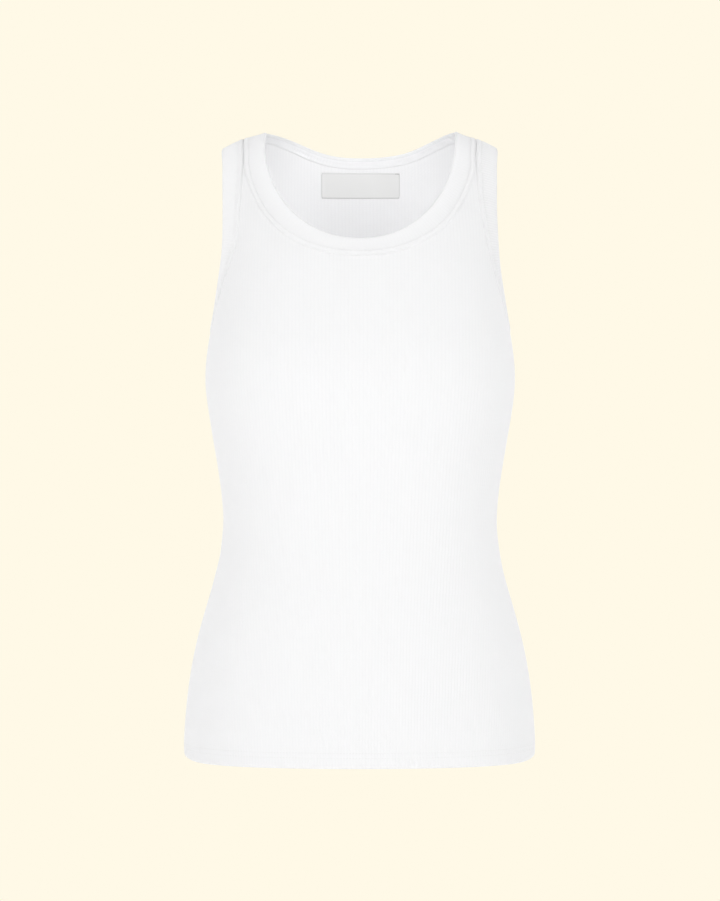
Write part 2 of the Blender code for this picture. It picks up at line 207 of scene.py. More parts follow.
CREASES = (
    # Under the bust, from the side seams in
    Crease(-97, 262, -34, 306, 17.0, 0.90, 7.0),
    Crease(95, 268, 40, 300, 19.0, 0.75, 5.0),
    Crease(-92, 232, -52, 258, 12.0, -0.35, 4.0),
    # From the front of the armholes
    Crease(-80, 176, -50, 232, 13.0, 0.55, -5.0),
    Crease(82, 182, 56, 246, 15.0, 0.45, 6.0),
    Crease(-60, 128, -38, 196, 11.0, 0.30, 5.0),
    Crease(62, 122, 44, 180, 12.0, 0.28, -4.0),
    # Across the waist
    Crease(-95, 352, -42, 402, 10.0, 0.70, -6.0),
    Crease(-97, 384, -56, 428, 8.0, 0.60, -5.0),
    Crease(-90, 412, -62, 446, 7.0, -0.35, -3.0),
    Crease(93, 358, 58, 390, 11.0, 0.45, 5.0),
    Crease(95, 402, 52, 450, 12.0, 0.50, 6.0),
    # Over the hips
    Crease(-74, 470, -48, 556, 15.0, 0.35, 6.0),
    Crease(78, 486, 60, 572, 14.0, 0.50, -5.0),
    Crease(-14, 452, -6, 566, 17.0, 0.22, 5.0),
    Crease(24, 470, 30, 580, 16.0, 0.20, -6.0),
    # Across the back, where it is hollow over the waist
    Crease(128, 330, 176, 346, 13.0, 0.85, 8.0),
    Crease(-118, 352, -172, 366, 11.0, 0.95, 6.0),
    Crease(122, 374, -170, 388, 12.0, 0.75, -7.0),
    Crease(-124, 402, -160, 414, 9.0, 0.55, -4.0),
    Crease(108, 404, 140, 424, 9.0, 0.50, 5.0),
    # From the back of the armholes to the shoulder blades
    Crease(116, 150, 140, 214, 14.0, 0.60, -6.0),
    Crease(-117, 158, -144, 206, 12.0, 0.50, 5.0),
    Crease(104, 246, 134, 282, 13.0, 0.40, 6.0),
    Crease(-106, 238, -130, 270, 12.0, 0.45, -5.0),
)
MM_PER_DEGREE = 2.3
CREASE_TAPER = 0.35


class Slump(NamedTuple):
    """A small soft shift of the cloth round one place, where it hangs unevenly from the form."""

    place: tuple[float, float, float]
    reach: tuple[float, float, float]
    shift: tuple[float, float, float]


SLUMPS = (
    # Each strap stands a little up at the shoulder
    Slump((-112, 0, -4), (22, 60, 30), (0, 0, 3.1)),
    Slump((114, 0, -4), (22, 60, 30), (0, 0, 3.6)),
    # The neck points stand unevenly, and the back neck hangs lower on the +X side
    Slump((-91, 0, 10), (12, 30, 14), (2.0, 0, -0.4)),
    Slump((-72, 30, 0), (30, 60, 16), (0, 0, 1.8)),
    Slump((52, 60, 0), (24, 60, 22), (0, 0, -2.6)),
    Slump((86, 0, 8), (11, 40, 12), (0, 0, 1.6)),
    # The -X side is fitted a little closer. Its armhole's band spreads at the front, and is drawn
    # back at its lower end
    Slump((-140, -10, -250), (40, 200, 170), (1.3, 0, 0)),
    Slump((-113, -55, -100), (14, 40, 26), (4.4, -3.8, 0)),
    Slump((-135, -38, -158), (24, 45, 28), (0, 8.0, 0)),
    # The hem's lower corners turn in at the side seams
    Slump((-168, -9, -584), (15, 60, 13), (1.6, 0, 3.4)),
    Slump((168, -9, -584), (15, 60, 13), (-1.6, 0, 3.4)),
)


def metres(points: Array) -> Array:
    """Millimetres to the scene's metres."""
    return np.asarray(points) * MM


def settle(points: Array) -> Array:
    """Let points laid on the form slump to where the cloth hangs.

    Args:
        points: Places on the form.

    Returns:
        The places with each slump's shift added, as strongly as they lie near it.
    """
    moved = np.array(points, float)
    for slump in SLUMPS:
        off = (points - np.array(slump.place)) / slump.reach
        moved += np.exp(-np.sum(off**2, axis=-1, keepdims=True)) * slump.shift
    return moved


def smooth_step(share: Array) -> Array:
    """A soft ramp from 0 to 1."""
    share = np.clip(share, 0, 1)
    return share * share * (3 - 2 * share)


def bump_at(distance: Array, width: float) -> Array:
    """A round bump of height 1 that fades with the distance from it."""
    return np.exp(-((np.asarray(distance) / width) ** 2))


def spline(knots: Sequence[float], values: Sequence[float]) -> Callable[[Array], Array]:
    """A natural cubic spline.

    Args:
        knots: Where the values are, in rising order.
        values: What the spline passes through.

    Returns:
        A function of the knots' coordinate.
    """
    knots = np.asarray(knots, float)
    values = np.asarray(values, float)
    gaps = np.diff(knots)
    system = np.eye(len(knots))
    right = np.zeros(len(knots))
    for i in range(1, len(knots) - 1):
        system[i, i - 1 : i + 2] = gaps[i - 1], 2 * (gaps[i - 1] + gaps[i]), gaps[i]
        rise_after = (values[i + 1] - values[i]) / gaps[i]
        rise_before = (values[i] - values[i - 1]) / gaps[i - 1]
        right[i] = 6 * (rise_after - rise_before)
    bends = np.linalg.solve(system, right)

    def at(where: Array) -> Array:
        """The spline's value at each place.

        Args:
            where: Places in the knots' coordinate.

        Returns:
            The value at each of them.
        """
        where = np.asarray(where, float)
        i = np.clip(np.searchsorted(knots, where) - 1, 0, len(gaps) - 1)
        before = (knots[i + 1] - where) / gaps[i]
        after = (where - knots[i]) / gaps[i]
        straight = before * values[i] + after * values[i + 1]
        bend = (before**3 - before) * bends[i] + (after**3 - after) * bends[i + 1]
        return straight + bend * gaps[i] ** 2 / 6

    return at


class TorsoForm:
    """The smooth shape that the cloth takes.

    A point of it is named by its level, the square root of its section's depth below the ridge,
    and its angle round the section from the middle of the front. A negative level is over the
    ridge, on the other side, so a path can run over the shoulder.
    """

    def __init__(self) -> None:
        """Make the splines of the sections' columns and of the shoulder line."""
        levels = [math.sqrt(row.below_ridge) for row in SECTIONS]
        self.signed_levels = [-level for level in levels[:0:-1]] + levels
        self.half_width = self.column("half_width", "half_width")
        self.side = self.column("side", "side")
        self.squareness = self.column("squareness", "squareness")
        self.depth = self.column("front", "back")
        line = [(-p.across, p.rise) for p in SHOULDER_LINE[:0:-1]] + list(SHOULDER_LINE)
        self.rise = spline([p[0] for p in line], [p[1] for p in line])

    def column(self, before: str, after: str) -> Callable[[Array], Array]:
        """The spline of one column of the sections, its front rows first and then its back rows."""
        front = [getattr(row, before) for row in SECTIONS[:0:-1]]
        return spline(self.signed_levels, front + [getattr(row, after) for row in SECTIONS])

    def point(self, level: Array, angle: Array) -> Array:
        """The point of the form at each level and angle.

        Args:
            level: The levels, below zero for places over the ridge.
            angle: The angles, in radians.

        Returns:
            The points, with x, y and z on a new last axis.
        """
        angle = np.where(level < 0, math.pi - angle, angle)
        level = np.abs(level)
        square = self.squareness(level)
        sideways = (1 + square) * np.sin(angle) + square * np.sin(3 * angle)
        forward = (1 + square) * np.cos(angle) - square * np.cos(3 * angle)
        side = self.side(level)
        depth = np.where(np.cos(angle) >= 0, self.depth(-level), self.depth(level))
        x = self.half_width(level) * sideways
        y = side + np.abs(forward) * (depth - side)
        fade = smooth_step(1 - level**2 / SHOULDER_FADE)
        z = SHOULDER_TOP - level**2 + fade * self.rise(x)
        return np.stack([x, y, z], axis=-1)

    def slopes(self, level: Array, angle: Array) -> tuple[Array, Array]:
        """How the point moves with its level and with its angle.

        Args:
            level: The levels of the places.
            angle: Their angles.

        Returns:
            The slopes by level, and the slopes by angle.
        """
        step = SLOPE_STEP
        by_level = self.point(level + step, angle) - self.point(level - step, angle)
        by_angle = self.point(level, angle + step) - self.point(level, angle - step)
        return by_level / (2 * step), by_angle / (2 * step)

    def normal(self, level: Array, angle: Array) -> Array:
        """The outward normal at each level and angle."""
        across = np.cross(*self.slopes(level, angle))
        return across / np.linalg.norm(across, axis=-1, keepdims=True)

    def walk(self, level: Array, angle: Array, heading: Array, distance: Array) -> tuple[Array, Array]:
        """Walk over the form.

        Args:
            level: The levels of the places to start from.
            angle: Their angles.
            heading: The direction to leave each of them in.
            distance: How far to walk.

        Returns:
            The levels and angles reached.
        """
        heading = np.array(heading, float)
        stride = np.asarray(distance, float) / WALK_STEPS
        for _ in range(WALK_STEPS):
            by_level, by_angle = self.slopes(level, angle)
            normal = self.normal(level, angle)
            heading = heading - np.sum(heading * normal, -1, keepdims=True) * normal
            heading = heading / np.linalg.norm(heading, axis=-1, keepdims=True)
            level_squared = np.sum(by_level * by_level, -1)
            crossed = np.sum(by_level * by_angle, -1)
            angle_squared = np.sum(by_angle * by_angle, -1)
            down = np.sum(by_level * heading, -1)
            along = np.sum(by_angle * heading, -1)
            spread = level_squared * angle_squared - crossed * crossed
            level = level + stride * (angle_squared * down - crossed * along) / spread
            angle = angle + stride * (level_squared * along - crossed * down) / spread
        return level, angle

    def find(self, x: Array, height: Array, behind: bool) -> tuple[Array, Array]:
        """Find the places of the form that lie this far across and this high.

        Args:
            x: How far each place is from the middle, towards +X.
            height: How high it is over the neck points.
            behind: Whether the places are over the ridge, on the back.

        Returns:
            The levels and angles of the places.
        """
        below = np.zeros_like(x)
        for _ in range(FIND_PASSES):
            fade = smooth_step(1 - below / SHOULDER_FADE)
            below = np.maximum(fade * self.rise(x) - height, 0)
        level = np.sqrt(below)
        square = self.squareness(level)
        share = x / self.half_width(level)
        angle = np.arcsin(share)
        for _ in range(FIND_PASSES):
            error = (1 + square) * np.sin(angle) + square * np.sin(3 * angle) - share
            slope = (1 + square) * np.cos(angle) + 3 * square * np.cos(3 * angle)
            angle = angle - error / slope
        return np.where(behind, -level, level), angle


FORM = TorsoForm()


def crease_relief(level: Array, angle: Array, side: Array) -> Array:
    """How far the creases move the cloth out of the form.

    Args:
        level: The levels of the places.
        angle: Their angles, from 0 at the middle of the front to pi at the middle of the back.
        side: 1 on the +X side and -1 on the other.

    Returns:
        The offset of each place, in millimetres.
    """
    angle = np.where(level < 0, math.pi - angle, angle)
    degrees = np.degrees(angle) * side
    below = level**2
    relief = np.zeros(np.broadcast(level, angle).shape)
    for crease in CREASES:
        turn = (crease.end_degrees - crease.degrees + 180) % 360 - 180
        run = np.array([turn * MM_PER_DEGREE, crease.end_below - crease.below])
        length = np.linalg.norm(run)
        away = ((degrees - crease.degrees + 180) % 360 - 180) * MM_PER_DEGREE
        down = below - crease.below
        share = (away * run[0] + down * run[1]) / length**2
        off = (away * run[1] - down * run[0]) / length - crease.bow * 4 * share * (1 - share)
        taper = smooth_step(share / CREASE_TAPER) * smooth_step((1 - share) / CREASE_TAPER)
        relief = relief - crease.depth * taper * bump_at(off, crease.width)
    return relief


def spaced(level: Array, angle: Array, count: int) -> tuple[Array, Array]:
    """Stations at even distances along a path that is given densely.

    Args:
        level: The levels along the path.
        angle: Its angles.
        count: How many equal steps the stations make.

    Returns:
        The levels and angles of the stations, one more than the steps.
    """
    steps = np.linalg.norm(np.diff(FORM.point(level, angle), axis=0), axis=1)
    run = np.concatenate([[0], np.cumsum(steps)])
    even = np.linspace(0, run[-1], count + 1)
    return np.interp(even, run, level), np.interp(even, run, angle)


def neck_path() -> tuple[Array, Array]:
    """The neck's finished edge, from the middle of the front over the +X shoulder to the back.

    Returns:
        The levels and angles of its stations.
    """
    share = np.linspace(0, 1, DENSE_STATIONS)
    turn = np.arccos((1 - share) ** 2)
    power = 2 / FRONT_NECK_SQUARENESS
    across = NECK_HALF_WIDTH * np.sin(turn) ** power
    front = FORM.find(across, -FRONT_NECK_DROP * np.cos(turn) ** power, False)
    reach = np.cos(share[1:] * math.pi / 2)
    dip = (1 - reach**BACK_NECK_ROUNDNESS) ** BACK_NECK_FLATNESS
    back = FORM.find(NECK_HALF_WIDTH * reach, -BACK_NECK_DROP * dip, True)
    level, angle = (np.concatenate([a, b]) for a, b in zip(front, back))
    return spaced(level, angle, DENSE_STATIONS)


def armhole_path() -> tuple[Array, Array]:
    """The +X armhole's finished edge: down the front from the shoulder, then up the back.

    Returns:
        The levels and angles of its stations, without a second one where the loop closes.
    """
    rows = [(math.sqrt(row.below_ridge), math.radians(row.degrees)) for row in ARMHOLE_EDGE]
    over = [(-level, math.pi - angle) for level, angle in rows]
    first = ARM_OVERLAP_ROWS
    path = np.array(over[-first:] + rows + over[: first + 1])
    points = FORM.point(path[:, 0], path[:, 1])
    run = np.concatenate([[0], np.cumsum(np.linalg.norm(np.diff(points, axis=0), axis=1))])
    where = np.linspace(run[first], run[first + len(rows)], DENSE_STATIONS)
    level, angle = spaced(spline(run, path[:, 0])(where), spline(run, path[:, 1])(where), DENSE_STATIONS)
    return level[:-1], angle[:-1]


class Edge:
    """A finished edge of the garment, with the way into its cloth and the width of its band.

    The station at each place has a level and angle on the form. The neck's edge is held as its
    +X half, and an armhole's as its whole loop.
    """

    def __init__(self, path: tuple[Array, Array], is_loop: bool, width: Array) -> None:
        """Hold the path, and work out the direction into the cloth at each station.

        Args:
            path: The levels and angles of the stations.
            is_loop: Whether they go all the way round.
            width: The band's width, at every station or for all of them.
        """
        self.level, self.angle = path
        self.is_loop = is_loop
        self.width = np.broadcast_to(width, self.level.shape).astype(float)
        points = FORM.point(self.level, self.angle)
        if is_loop:
            along = np.roll(points, -1, axis=0) - np.roll(points, 1, axis=0)
        else:
            padded = np.vstack([points[1] * MIRROR, points, points[-2] * MIRROR])
            along = padded[2:] - padded[:-2]
        self.heading = np.cross(along, FORM.normal(self.level, self.angle))

    def at(self, distance: Array) -> tuple[Array, Array]:
        """The level and angle of every station, this far into the cloth."""
        return FORM.walk(self.level, self.angle, self.heading, distance)

    def narrow(self, limit: Callable[[Array], Array]) -> None:
        """Narrow the band where the strap has no room for its full width.

        Args:
            limit: How far across the band may reach, at each level.
        """
        for _ in range(NARROWING_PASSES):
            level, angle = self.at(self.width)
            over = FORM.point(level, angle)[:, 0] - limit(level)
            self.width = self.width - np.maximum(over, 0)

    def line(self, distance: Array) -> tuple[Array, Array]:
        """A line that runs along the edge, some way into the cloth.

        Args:
            distance: How far in it lies, at each station.

        Returns:
            Its points, and the unit directions on into the cloth.
        """
        level, angle = self.at(distance)
        ahead = FORM.point(*self.at(distance + 1.0))
        points = FORM.point(level, angle)
        way = ahead - points
        way = way / np.linalg.norm(way, axis=1, keepdims=True)
        return points, way


def armhole_edge() -> Edge:
    """The +X armhole's edge with its band."""
    return Edge(armhole_path(), True, ARM_BAND_WIDTH)


def neck_edge(arm: Edge) -> Edge:
    """The +X half of the neck's edge with its band, which stops short of the armhole's band.

    The cloth is a little narrower than its solid at the middle of the front and back.

    Args:
        arm: The +X armhole's edge.

    Returns:
        The neck's edge.
    """
    path = neck_path()
    share = smooth_step(path[1] / NECK_STRAP_ANGLE)
    narrow = NECK_BAND_WIDTH - NECK_BAND_TRIM
    edge = Edge(path, False, narrow + (NECK_BAND_STRAP_WIDTH - narrow) * share)
    level, angle = arm.at(arm.width)
    across = FORM.point(level, angle)[:, 0] - STRAP_GAP
    signed = np.where(angle > math.pi / 2, -level, level)
    order = np.argsort(signed)
    edge.narrow(lambda where: np.interp(where, signed[order], across[order]))
    return edge


class Side(Enum):
    """The two sides of the garment, by the sign of x."""

    RIGHT = 1
    LEFT = -1


class RibPhase(NamedTuple):
    """One column of vertices in each rib: its place across the rib and its share of the relief."""

    share: float
    height: float


RIB_PHASES = (
    RibPhase(0.0, 0.0),
    RibPhase(0.20, 0.74),
    RibPhase(0.50, 1.0),
    RibPhase(0.80, 0.74),
)


def rib_columns(first: int, last: int) -> Array:
    """Where the columns of vertices stand, from one trough to another.

    Args:
        first: The number of the first trough.
        last: The number of the last one.

    Returns:
        The places of the columns, counted in ribs.
    """
    whole = np.arange(first, last)[:, None]
    shares = np.array([phase.share for phase in RIB_PHASES])
    return np.append((whole + shares).ravel(), last)


def rib_height(ribs: Array) -> Array:
    """The share of the full relief at each place across the ribs.

    Args:
        ribs: The places, counted in ribs.

    Returns:
        Shares from 0 in the troughs to 1 on the crowns.
    """
    shares = [phase.share for phase in RIB_PHASES] + [1.0]
    heights = [phase.height for phase in RIB_PHASES] + [0.0]
    return np.interp(ribs - np.floor(ribs), shares, heights)


def new_object(name: str, bm: bmesh.types.BMesh, *finishes: bpy.types.Material) -> bpy.types.Object:
    """Make a smooth shaded object from a bmesh, and free the bmesh.

    Args:
        name: The object's name and its mesh's.
        bm: The shape, in metres.
        finishes: The material of each slot.

    Returns:
        The object, linked to the scene.
    """
    mesh = bpy.data.meshes.new(name)
    bm.to_mesh(mesh)
    bm.free()
    mesh.shade_smooth()
    for finish in finishes:
        mesh.materials.append(finish)
    made = bpy.data.objects.new(name, mesh)
    bpy.context.scene.collection.objects.link(made)
    return made


def thicken(made: bpy.types.Object, thickness: float) -> None:
    """Give a sheet its wall, inwards from the face that it was modelled on.

    Args:
        made: The sheet.
        thickness: The wall's, in millimetres.
    """
    wall = made.modifiers.new("wall", "SOLIDIFY")
    wall.thickness = thickness * MM
    wall.offset = -1.0
    wall.use_even_offset = False


def face_outwards(bm: bmesh.types.BMesh, outward: Callable[[bmesh.types.BMFace], Array]) -> None:
    """Turn all the faces of an open sheet over if its middle face looks the wrong way.

    Args:
        bm: The sheet.
        outward: The outward direction at a face.
    """
    bm.normal_update()
    bm.faces.ensure_lookup_table()
    middle = bm.faces[len(bm.faces) // 2]
    if np.dot(middle.normal, outward(middle)) < 0:
        bmesh.ops.reverse_faces(bm, faces=bm.faces)


def write_uv(bm: bmesh.types.BMesh, places: Array) -> None:
    """Write the cloth coordinates of the vertices to the map that the finishes read.

    Args:
        bm: The sheet.
        places: Both coordinates of each vertex, in the vertices' order.
    """
    bm.verts.index_update()
    layer = bm.loops.layers.uv.new("cloth")
    for face in bm.faces:
        for loop in face.loops:
            loop[layer].uv = places[loop.vert.index]


def triangles_of(made: bpy.types.Object) -> int:
    """Count the triangles of a finished piece.

    Args:
        made: The piece, with its modifiers live.

    Returns:
        How many there are.
    """
    evaluated = made.evaluated_get(bpy.context.evaluated_depsgraph_get())
    mesh = evaluated.to_mesh()
    mesh.calc_loop_triangles()
    count = len(mesh.loop_triangles)
    evaluated.to_mesh_clear()
    return count


def set_down(made: bpy.types.Object, slot: str, *nodes: str) -> bpy.types.Object:
    """Let a finished piece ride on the body and stand for its nodes.

    Args:
        made: The piece.
        slot: Not used.
        nodes: The frame's nodes that it replaces, or none.

    Returns:
        The piece.
    """
    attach(made, BODY)
    if nodes:
        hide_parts(*nodes)
    log.info("%s: %d triangles", made.name, triangles_of(made))
    return made


# ---------------------------------------------------------------------------------------------
# Finishes


class Tree:
    """Adds nodes to one shader tree and joins them."""

    def __init__(self, nodes: bpy.types.NodeTree) -> None:
        """Hold the tree."""
        self.tree = nodes

    def node(self, kind: str, **settings: object) -> bpy.types.Node:
        """Add a node.

        Args:
            kind: Its type's name.
            settings: The properties to set on it.

        Returns:
            The node.
        """
        made = self.tree.nodes.new(kind)
        for name, value in settings.items():
            setattr(made, name, value)
        return made

    def feed(self, socket: bpy.types.NodeSocket, value: object) -> None:
        """Give an input its value.

        Args:
            socket: The input.
            value: A plain value, or the output to join to it.
        """
        if isinstance(value, bpy.types.NodeSocket):
            self.tree.links.new(value, socket)
        else:
            socket.default_value = value

    def math(self, operation: str, *values: object) -> bpy.types.NodeSocket:
        """Add a Math node.

        Args:
            operation: What it works out.
            values: What each of its inputs is fed with.

        Returns:
            Its output.
        """
        made = self.node("ShaderNodeMath", operation=operation)
        for socket, value in zip(made.inputs, values):
            self.feed(socket, value)
        return made.outputs[0]

    def noise(self, vector: bpy.types.NodeSocket, scale: float, detail: float) -> bpy.types.NodeSocket:
        """Add a noise texture.

        Args:
            vector: The coordinates that it is laid on.
            scale: How fine it is.
            detail: How many finer layers it has.

        Returns:
            Its value.
        """
        made = self.node("ShaderNodeTexNoise")
        self.feed(made.inputs["Vector"], vector)
        made.inputs["Scale"].default_value = scale
        made.inputs["Detail"].default_value = detail
        return made.outputs["Fac"]

    def blend(self, share: object, low: object, high: object) -> bpy.types.NodeSocket:
        """Mix two colours.

        Args:
            share: How much of the second there is, from 0 to 1.
            low: The first colour.
            high: The second colour.

        Returns:
            The mixed colour.
        """
        made = self.node("ShaderNodeMix", data_type="RGBA")
        self.feed(made.inputs["Factor"], share)
        self.feed(made.inputs["A"], low)
        self.feed(made.inputs["B"], high)
        return made.outputs["Result"]


def new_group(name: str, inputs: Iterable[tuple[str, str, object]], outputs: Iterable[str]) -> tuple:
    """Start a shader node group.

    Args:
        name: The group's name.
        inputs: The name, kind and default of each input.
        outputs: The names of its outputs, all plain numbers.

    Returns:
        The group, its Tree, its input node and its output node.
    """
    group = bpy.data.node_groups.new(name, "ShaderNodeTree")
    for label, kind, default in inputs:
        socket = group.interface.new_socket(label, in_out="INPUT", socket_type=kind)
        if default is not None:
            socket.default_value = default
    for label in outputs:
        group.interface.new_socket(label, in_out="OUTPUT", socket_type="NodeSocketFloat")
    tree = Tree(group)
    return group, tree, tree.node("NodeGroupInput"), tree.node("NodeGroupOutput")


# The knit's loops and nap: how far the loops lean, how fine each noise is, and how much painted shade
# darkens the hollows between two ribs and between two loops
LOOP_LEAN = 0.45
NAP_SCALE = 1900.0
FLUFF_SCALE = 420.0
CLOUD_SCALE = 16.0
RIB_SHADE = 0.65
LOOP_SHADE = 0.35


def knit_group() -> bpy.types.NodeTree:
    """The knit's fine surface: loops running up each rib, and the nap of the yarn.

    Its vector is in ribs across and courses along. Height is the relief of both, Shade is how far a place
    lies down between the loops and ribs, which the finishes turn into painted shade, and Cloudiness is a
    slow unevenness of tone.

    Returns:
        The group.
    """
    group, tree, given, result = new_group(
        "knit loops",
        (
            ("Cloth", "NodeSocketVector", None),
            ("Place", "NodeSocketVector", None),
            ("Loop Relief", "NodeSocketFloat", 0.5),
            ("Nap", "NodeSocketFloat", 0.3),
        ),
        ("Height", "Shade", "Cloudiness"),
    )
    parts = tree.node("ShaderNodeSeparateXYZ")
    tree.feed(parts.inputs[0], given.outputs["Cloth"])
    across = tree.math("FRACT", parts.outputs["X"])
    from_crown = tree.math("MULTIPLY", tree.math("ABSOLUTE", tree.math("SUBTRACT", across, 0.5)), 2.0)
    lean = tree.math("MULTIPLY_ADD", from_crown, LOOP_LEAN, parts.outputs["Y"])
    wave = tree.math("SINE", tree.math("MULTIPLY", lean, 2 * math.pi))
    loop = tree.math("MULTIPLY_ADD", wave, 0.5, 0.5)
    inside_rib = tree.math("SUBTRACT", 1.0, tree.math("POWER", from_crown, 4.0))
    loops = tree.math("MULTIPLY", loop, inside_rib)
    nap = tree.noise(given.outputs["Place"], NAP_SCALE, 3.0)
    fluff = tree.noise(given.outputs["Place"], FLUFF_SCALE, 2.0)
    fuzz = tree.math("MULTIPLY_ADD", fluff, 0.5, tree.math("MULTIPLY", nap, 0.5))
    relief = tree.math("MULTIPLY", loops, given.outputs["Loop Relief"])
    height = tree.math("MULTIPLY_ADD", fuzz, given.outputs["Nap"], relief)
    hollow_shade = tree.math("POWER", from_crown, 3.0)
    between = tree.math("MULTIPLY", tree.math("SUBTRACT", 1.0, loop), LOOP_SHADE)
    tree.feed(result.inputs["Height"], height)
    tree.feed(result.inputs["Shade"], tree.math("ADD", tree.math("MULTIPLY", hollow_shade, RIB_SHADE), between))
    tree.feed(result.inputs["Cloudiness"], tree.noise(given.outputs["Place"], CLOUD_SCALE, 3.0))
    return group


def ribbon_group() -> bpy.types.NodeTree:
    """A fine satin ribbon's surface: crossing threads, with a denser selvedge along both edges.

    Its vector is in millimetres along and across the ribbon, from its middle. Height is the
    relief of the threads, and Shade is 1 on the selvedges.

    Returns:
        The group.
    """
    group, tree, given, result = new_group(
        "woven ribbon",
        (
            ("Cloth", "NodeSocketVector", None),
            ("Thread Pitch", "NodeSocketFloat", 0.42),
            ("Half Width", "NodeSocketFloat", 11.7),
            ("Selvedge", "NodeSocketFloat", 0.9),
        ),
        ("Height", "Shade"),
    )
    parts = tree.node("ShaderNodeSeparateXYZ")
    tree.feed(parts.inputs[0], given.outputs["Cloth"])
    turn = tree.math("DIVIDE", 2 * math.pi, given.outputs["Thread Pitch"])
    warp = tree.math("SINE", tree.math("MULTIPLY", parts.outputs["X"], turn))
    weft = tree.math("SINE", tree.math("MULTIPLY", parts.outputs["Y"], turn))
    weave = tree.math("MULTIPLY", warp, weft)
    inner = tree.math("SUBTRACT", given.outputs["Half Width"], given.outputs["Selvedge"])
    selvedge = tree.math("GREATER_THAN", tree.math("ABSOLUTE", parts.outputs["Y"]), inner)
    tree.feed(result.inputs["Height"], tree.math("MULTIPLY_ADD", weave, 0.5, 0.5))
    tree.feed(result.inputs["Shade"], selvedge)
    return group


@dataclass(frozen=True)
class KnitFinish:
    """Matt cotton rib knit: its tone on the crowns of the ribs, and a darker tone between them, painted
    shade in the hollows.

    How high its bumps stand and how far light reaches into it are in metres.
    """

    name: str
    light: tuple[float, float, float, float]
    hollow_shade: tuple[float, float, float, float]
    loop_relief: float = 0.55
    nap: float = 0.40
    cloudiness: float = 0.25
    bump: float = 0.00014
    roughness: float = 0.92
    gloss: float = 0.25
    sheen: float = 0.10
    sheen_roughness: float = 0.45
    see_through: float = 0.8
    light_reach: float = 0.00025

    def material(self, group: bpy.types.NodeTree) -> bpy.types.Material:
        """Make the finish.

        Args:
            group: The knit's shader group.

        Returns:
            The material.
        """
        made = bpy.data.materials.new(self.name)
        made.use_nodes = True
        tree = Tree(made.node_tree)
        shader = made.node_tree.nodes["Principled BSDF"]
        cloth = tree.node("ShaderNodeUVMap", uv_map="cloth")
        place = tree.node("ShaderNodeTexCoord")
        knit = tree.node("ShaderNodeGroup", node_tree=group)
        tree.feed(knit.inputs["Cloth"], cloth.outputs["UV"])
        tree.feed(knit.inputs["Place"], place.outputs["Object"])
        knit.inputs["Loop Relief"].default_value = self.loop_relief
        knit.inputs["Nap"].default_value = self.nap
        cloud = tree.math("MULTIPLY", knit.outputs["Cloudiness"], self.cloudiness)
        tone = tree.math("MULTIPLY_ADD", knit.outputs["Shade"], 1 - self.cloudiness, cloud)
        # Base colour: the crown tone, darkened by painted shade in the hollows between ribs and loops
        tree.feed(shader.inputs["Base Color"], tree.blend(tone, self.light, self.hollow_shade))
        bump = tree.node("ShaderNodeBump")
        bump.inputs["Strength"].default_value = 1.0
        bump.inputs["Distance"].default_value = self.bump
        tree.feed(bump.inputs["Height"], knit.outputs["Height"])
        tree.feed(shader.inputs["Normal"], bump.outputs["Normal"])
        shader.inputs["Roughness"].default_value = self.roughness
        shader.inputs["Sheen Weight"].default_value = self.sheen
        shader.inputs["Sheen Roughness"].default_value = self.sheen_roughness
        shader.inputs["Specular IOR Level"].default_value = self.gloss
        shader.inputs["Subsurface Weight"].default_value = self.see_through
        shader.inputs["Subsurface Radius"].default_value = (1.0, 1.0, 1.0)
        shader.inputs["Subsurface Scale"].default_value = self.light_reach
        return made


@dataclass(frozen=True)
class ThreadFinish:
    """Spun polyester sewing thread, twisted."""

    name: str
    colour: tuple[float, float, float, float]
    between_fibres: float = 0.9
    fibre_scale: float = 3500.0
    roughness: float = 0.6
    sheen: float = 0.1

    def material(self) -> bpy.types.Material:
        """Make the finish, with a fine noise for the fibres.

        Returns:
            The material.
        """
        made = bpy.data.materials.new(self.name)
        made.use_nodes = True
        tree = Tree(made.node_tree)
        shader = made.node_tree.nodes["Principled BSDF"]
        place = tree.node("ShaderNodeTexCoord")
        fibres = tree.noise(place.outputs["Object"], self.fibre_scale, 2.0)
        dark = tuple(self.between_fibres * channel for channel in self.colour[:3]) + (1.0,)
        tree.feed(shader.inputs["Base Color"], tree.blend(fibres, dark, self.colour))
        shader.inputs["Roughness"].default_value = self.roughness
        shader.inputs["Sheen Weight"].default_value = self.sheen
        return made


@dataclass(frozen=True)
class RibbonFinish:
    """Bare satin-woven label ribbon."""

    name: str
    face: tuple[float, float, float, float]
    selvedge: tuple[float, float, float, float]
    roughness: float = 0.5
    bump: float = 0.00006

    def material(self, group: bpy.types.NodeTree) -> bpy.types.Material:
        """Make the finish.

        Args:
            group: The ribbon's shader group.

        Returns:
            The material.
        """
        made = bpy.data.materials.new(self.name)
        made.use_nodes = True
        tree = Tree(made.node_tree)
        shader = made.node_tree.nodes["Principled BSDF"]
        cloth = tree.node("ShaderNodeUVMap", uv_map="cloth")
        ribbon = tree.node("ShaderNodeGroup", node_tree=group)
        tree.feed(ribbon.inputs["Cloth"], cloth.outputs["UV"])
        tree.feed(shader.inputs["Base Color"], tree.blend(ribbon.outputs["Shade"], self.face, self.selvedge))
        bump = tree.node("ShaderNodeBump")
        bump.inputs["Distance"].default_value = self.bump
        tree.feed(bump.inputs["Height"], ribbon.outputs["Height"])
        tree.feed(shader.inputs["Normal"], bump.outputs["Normal"])
        shader.inputs["Roughness"].default_value = self.roughness
        return made


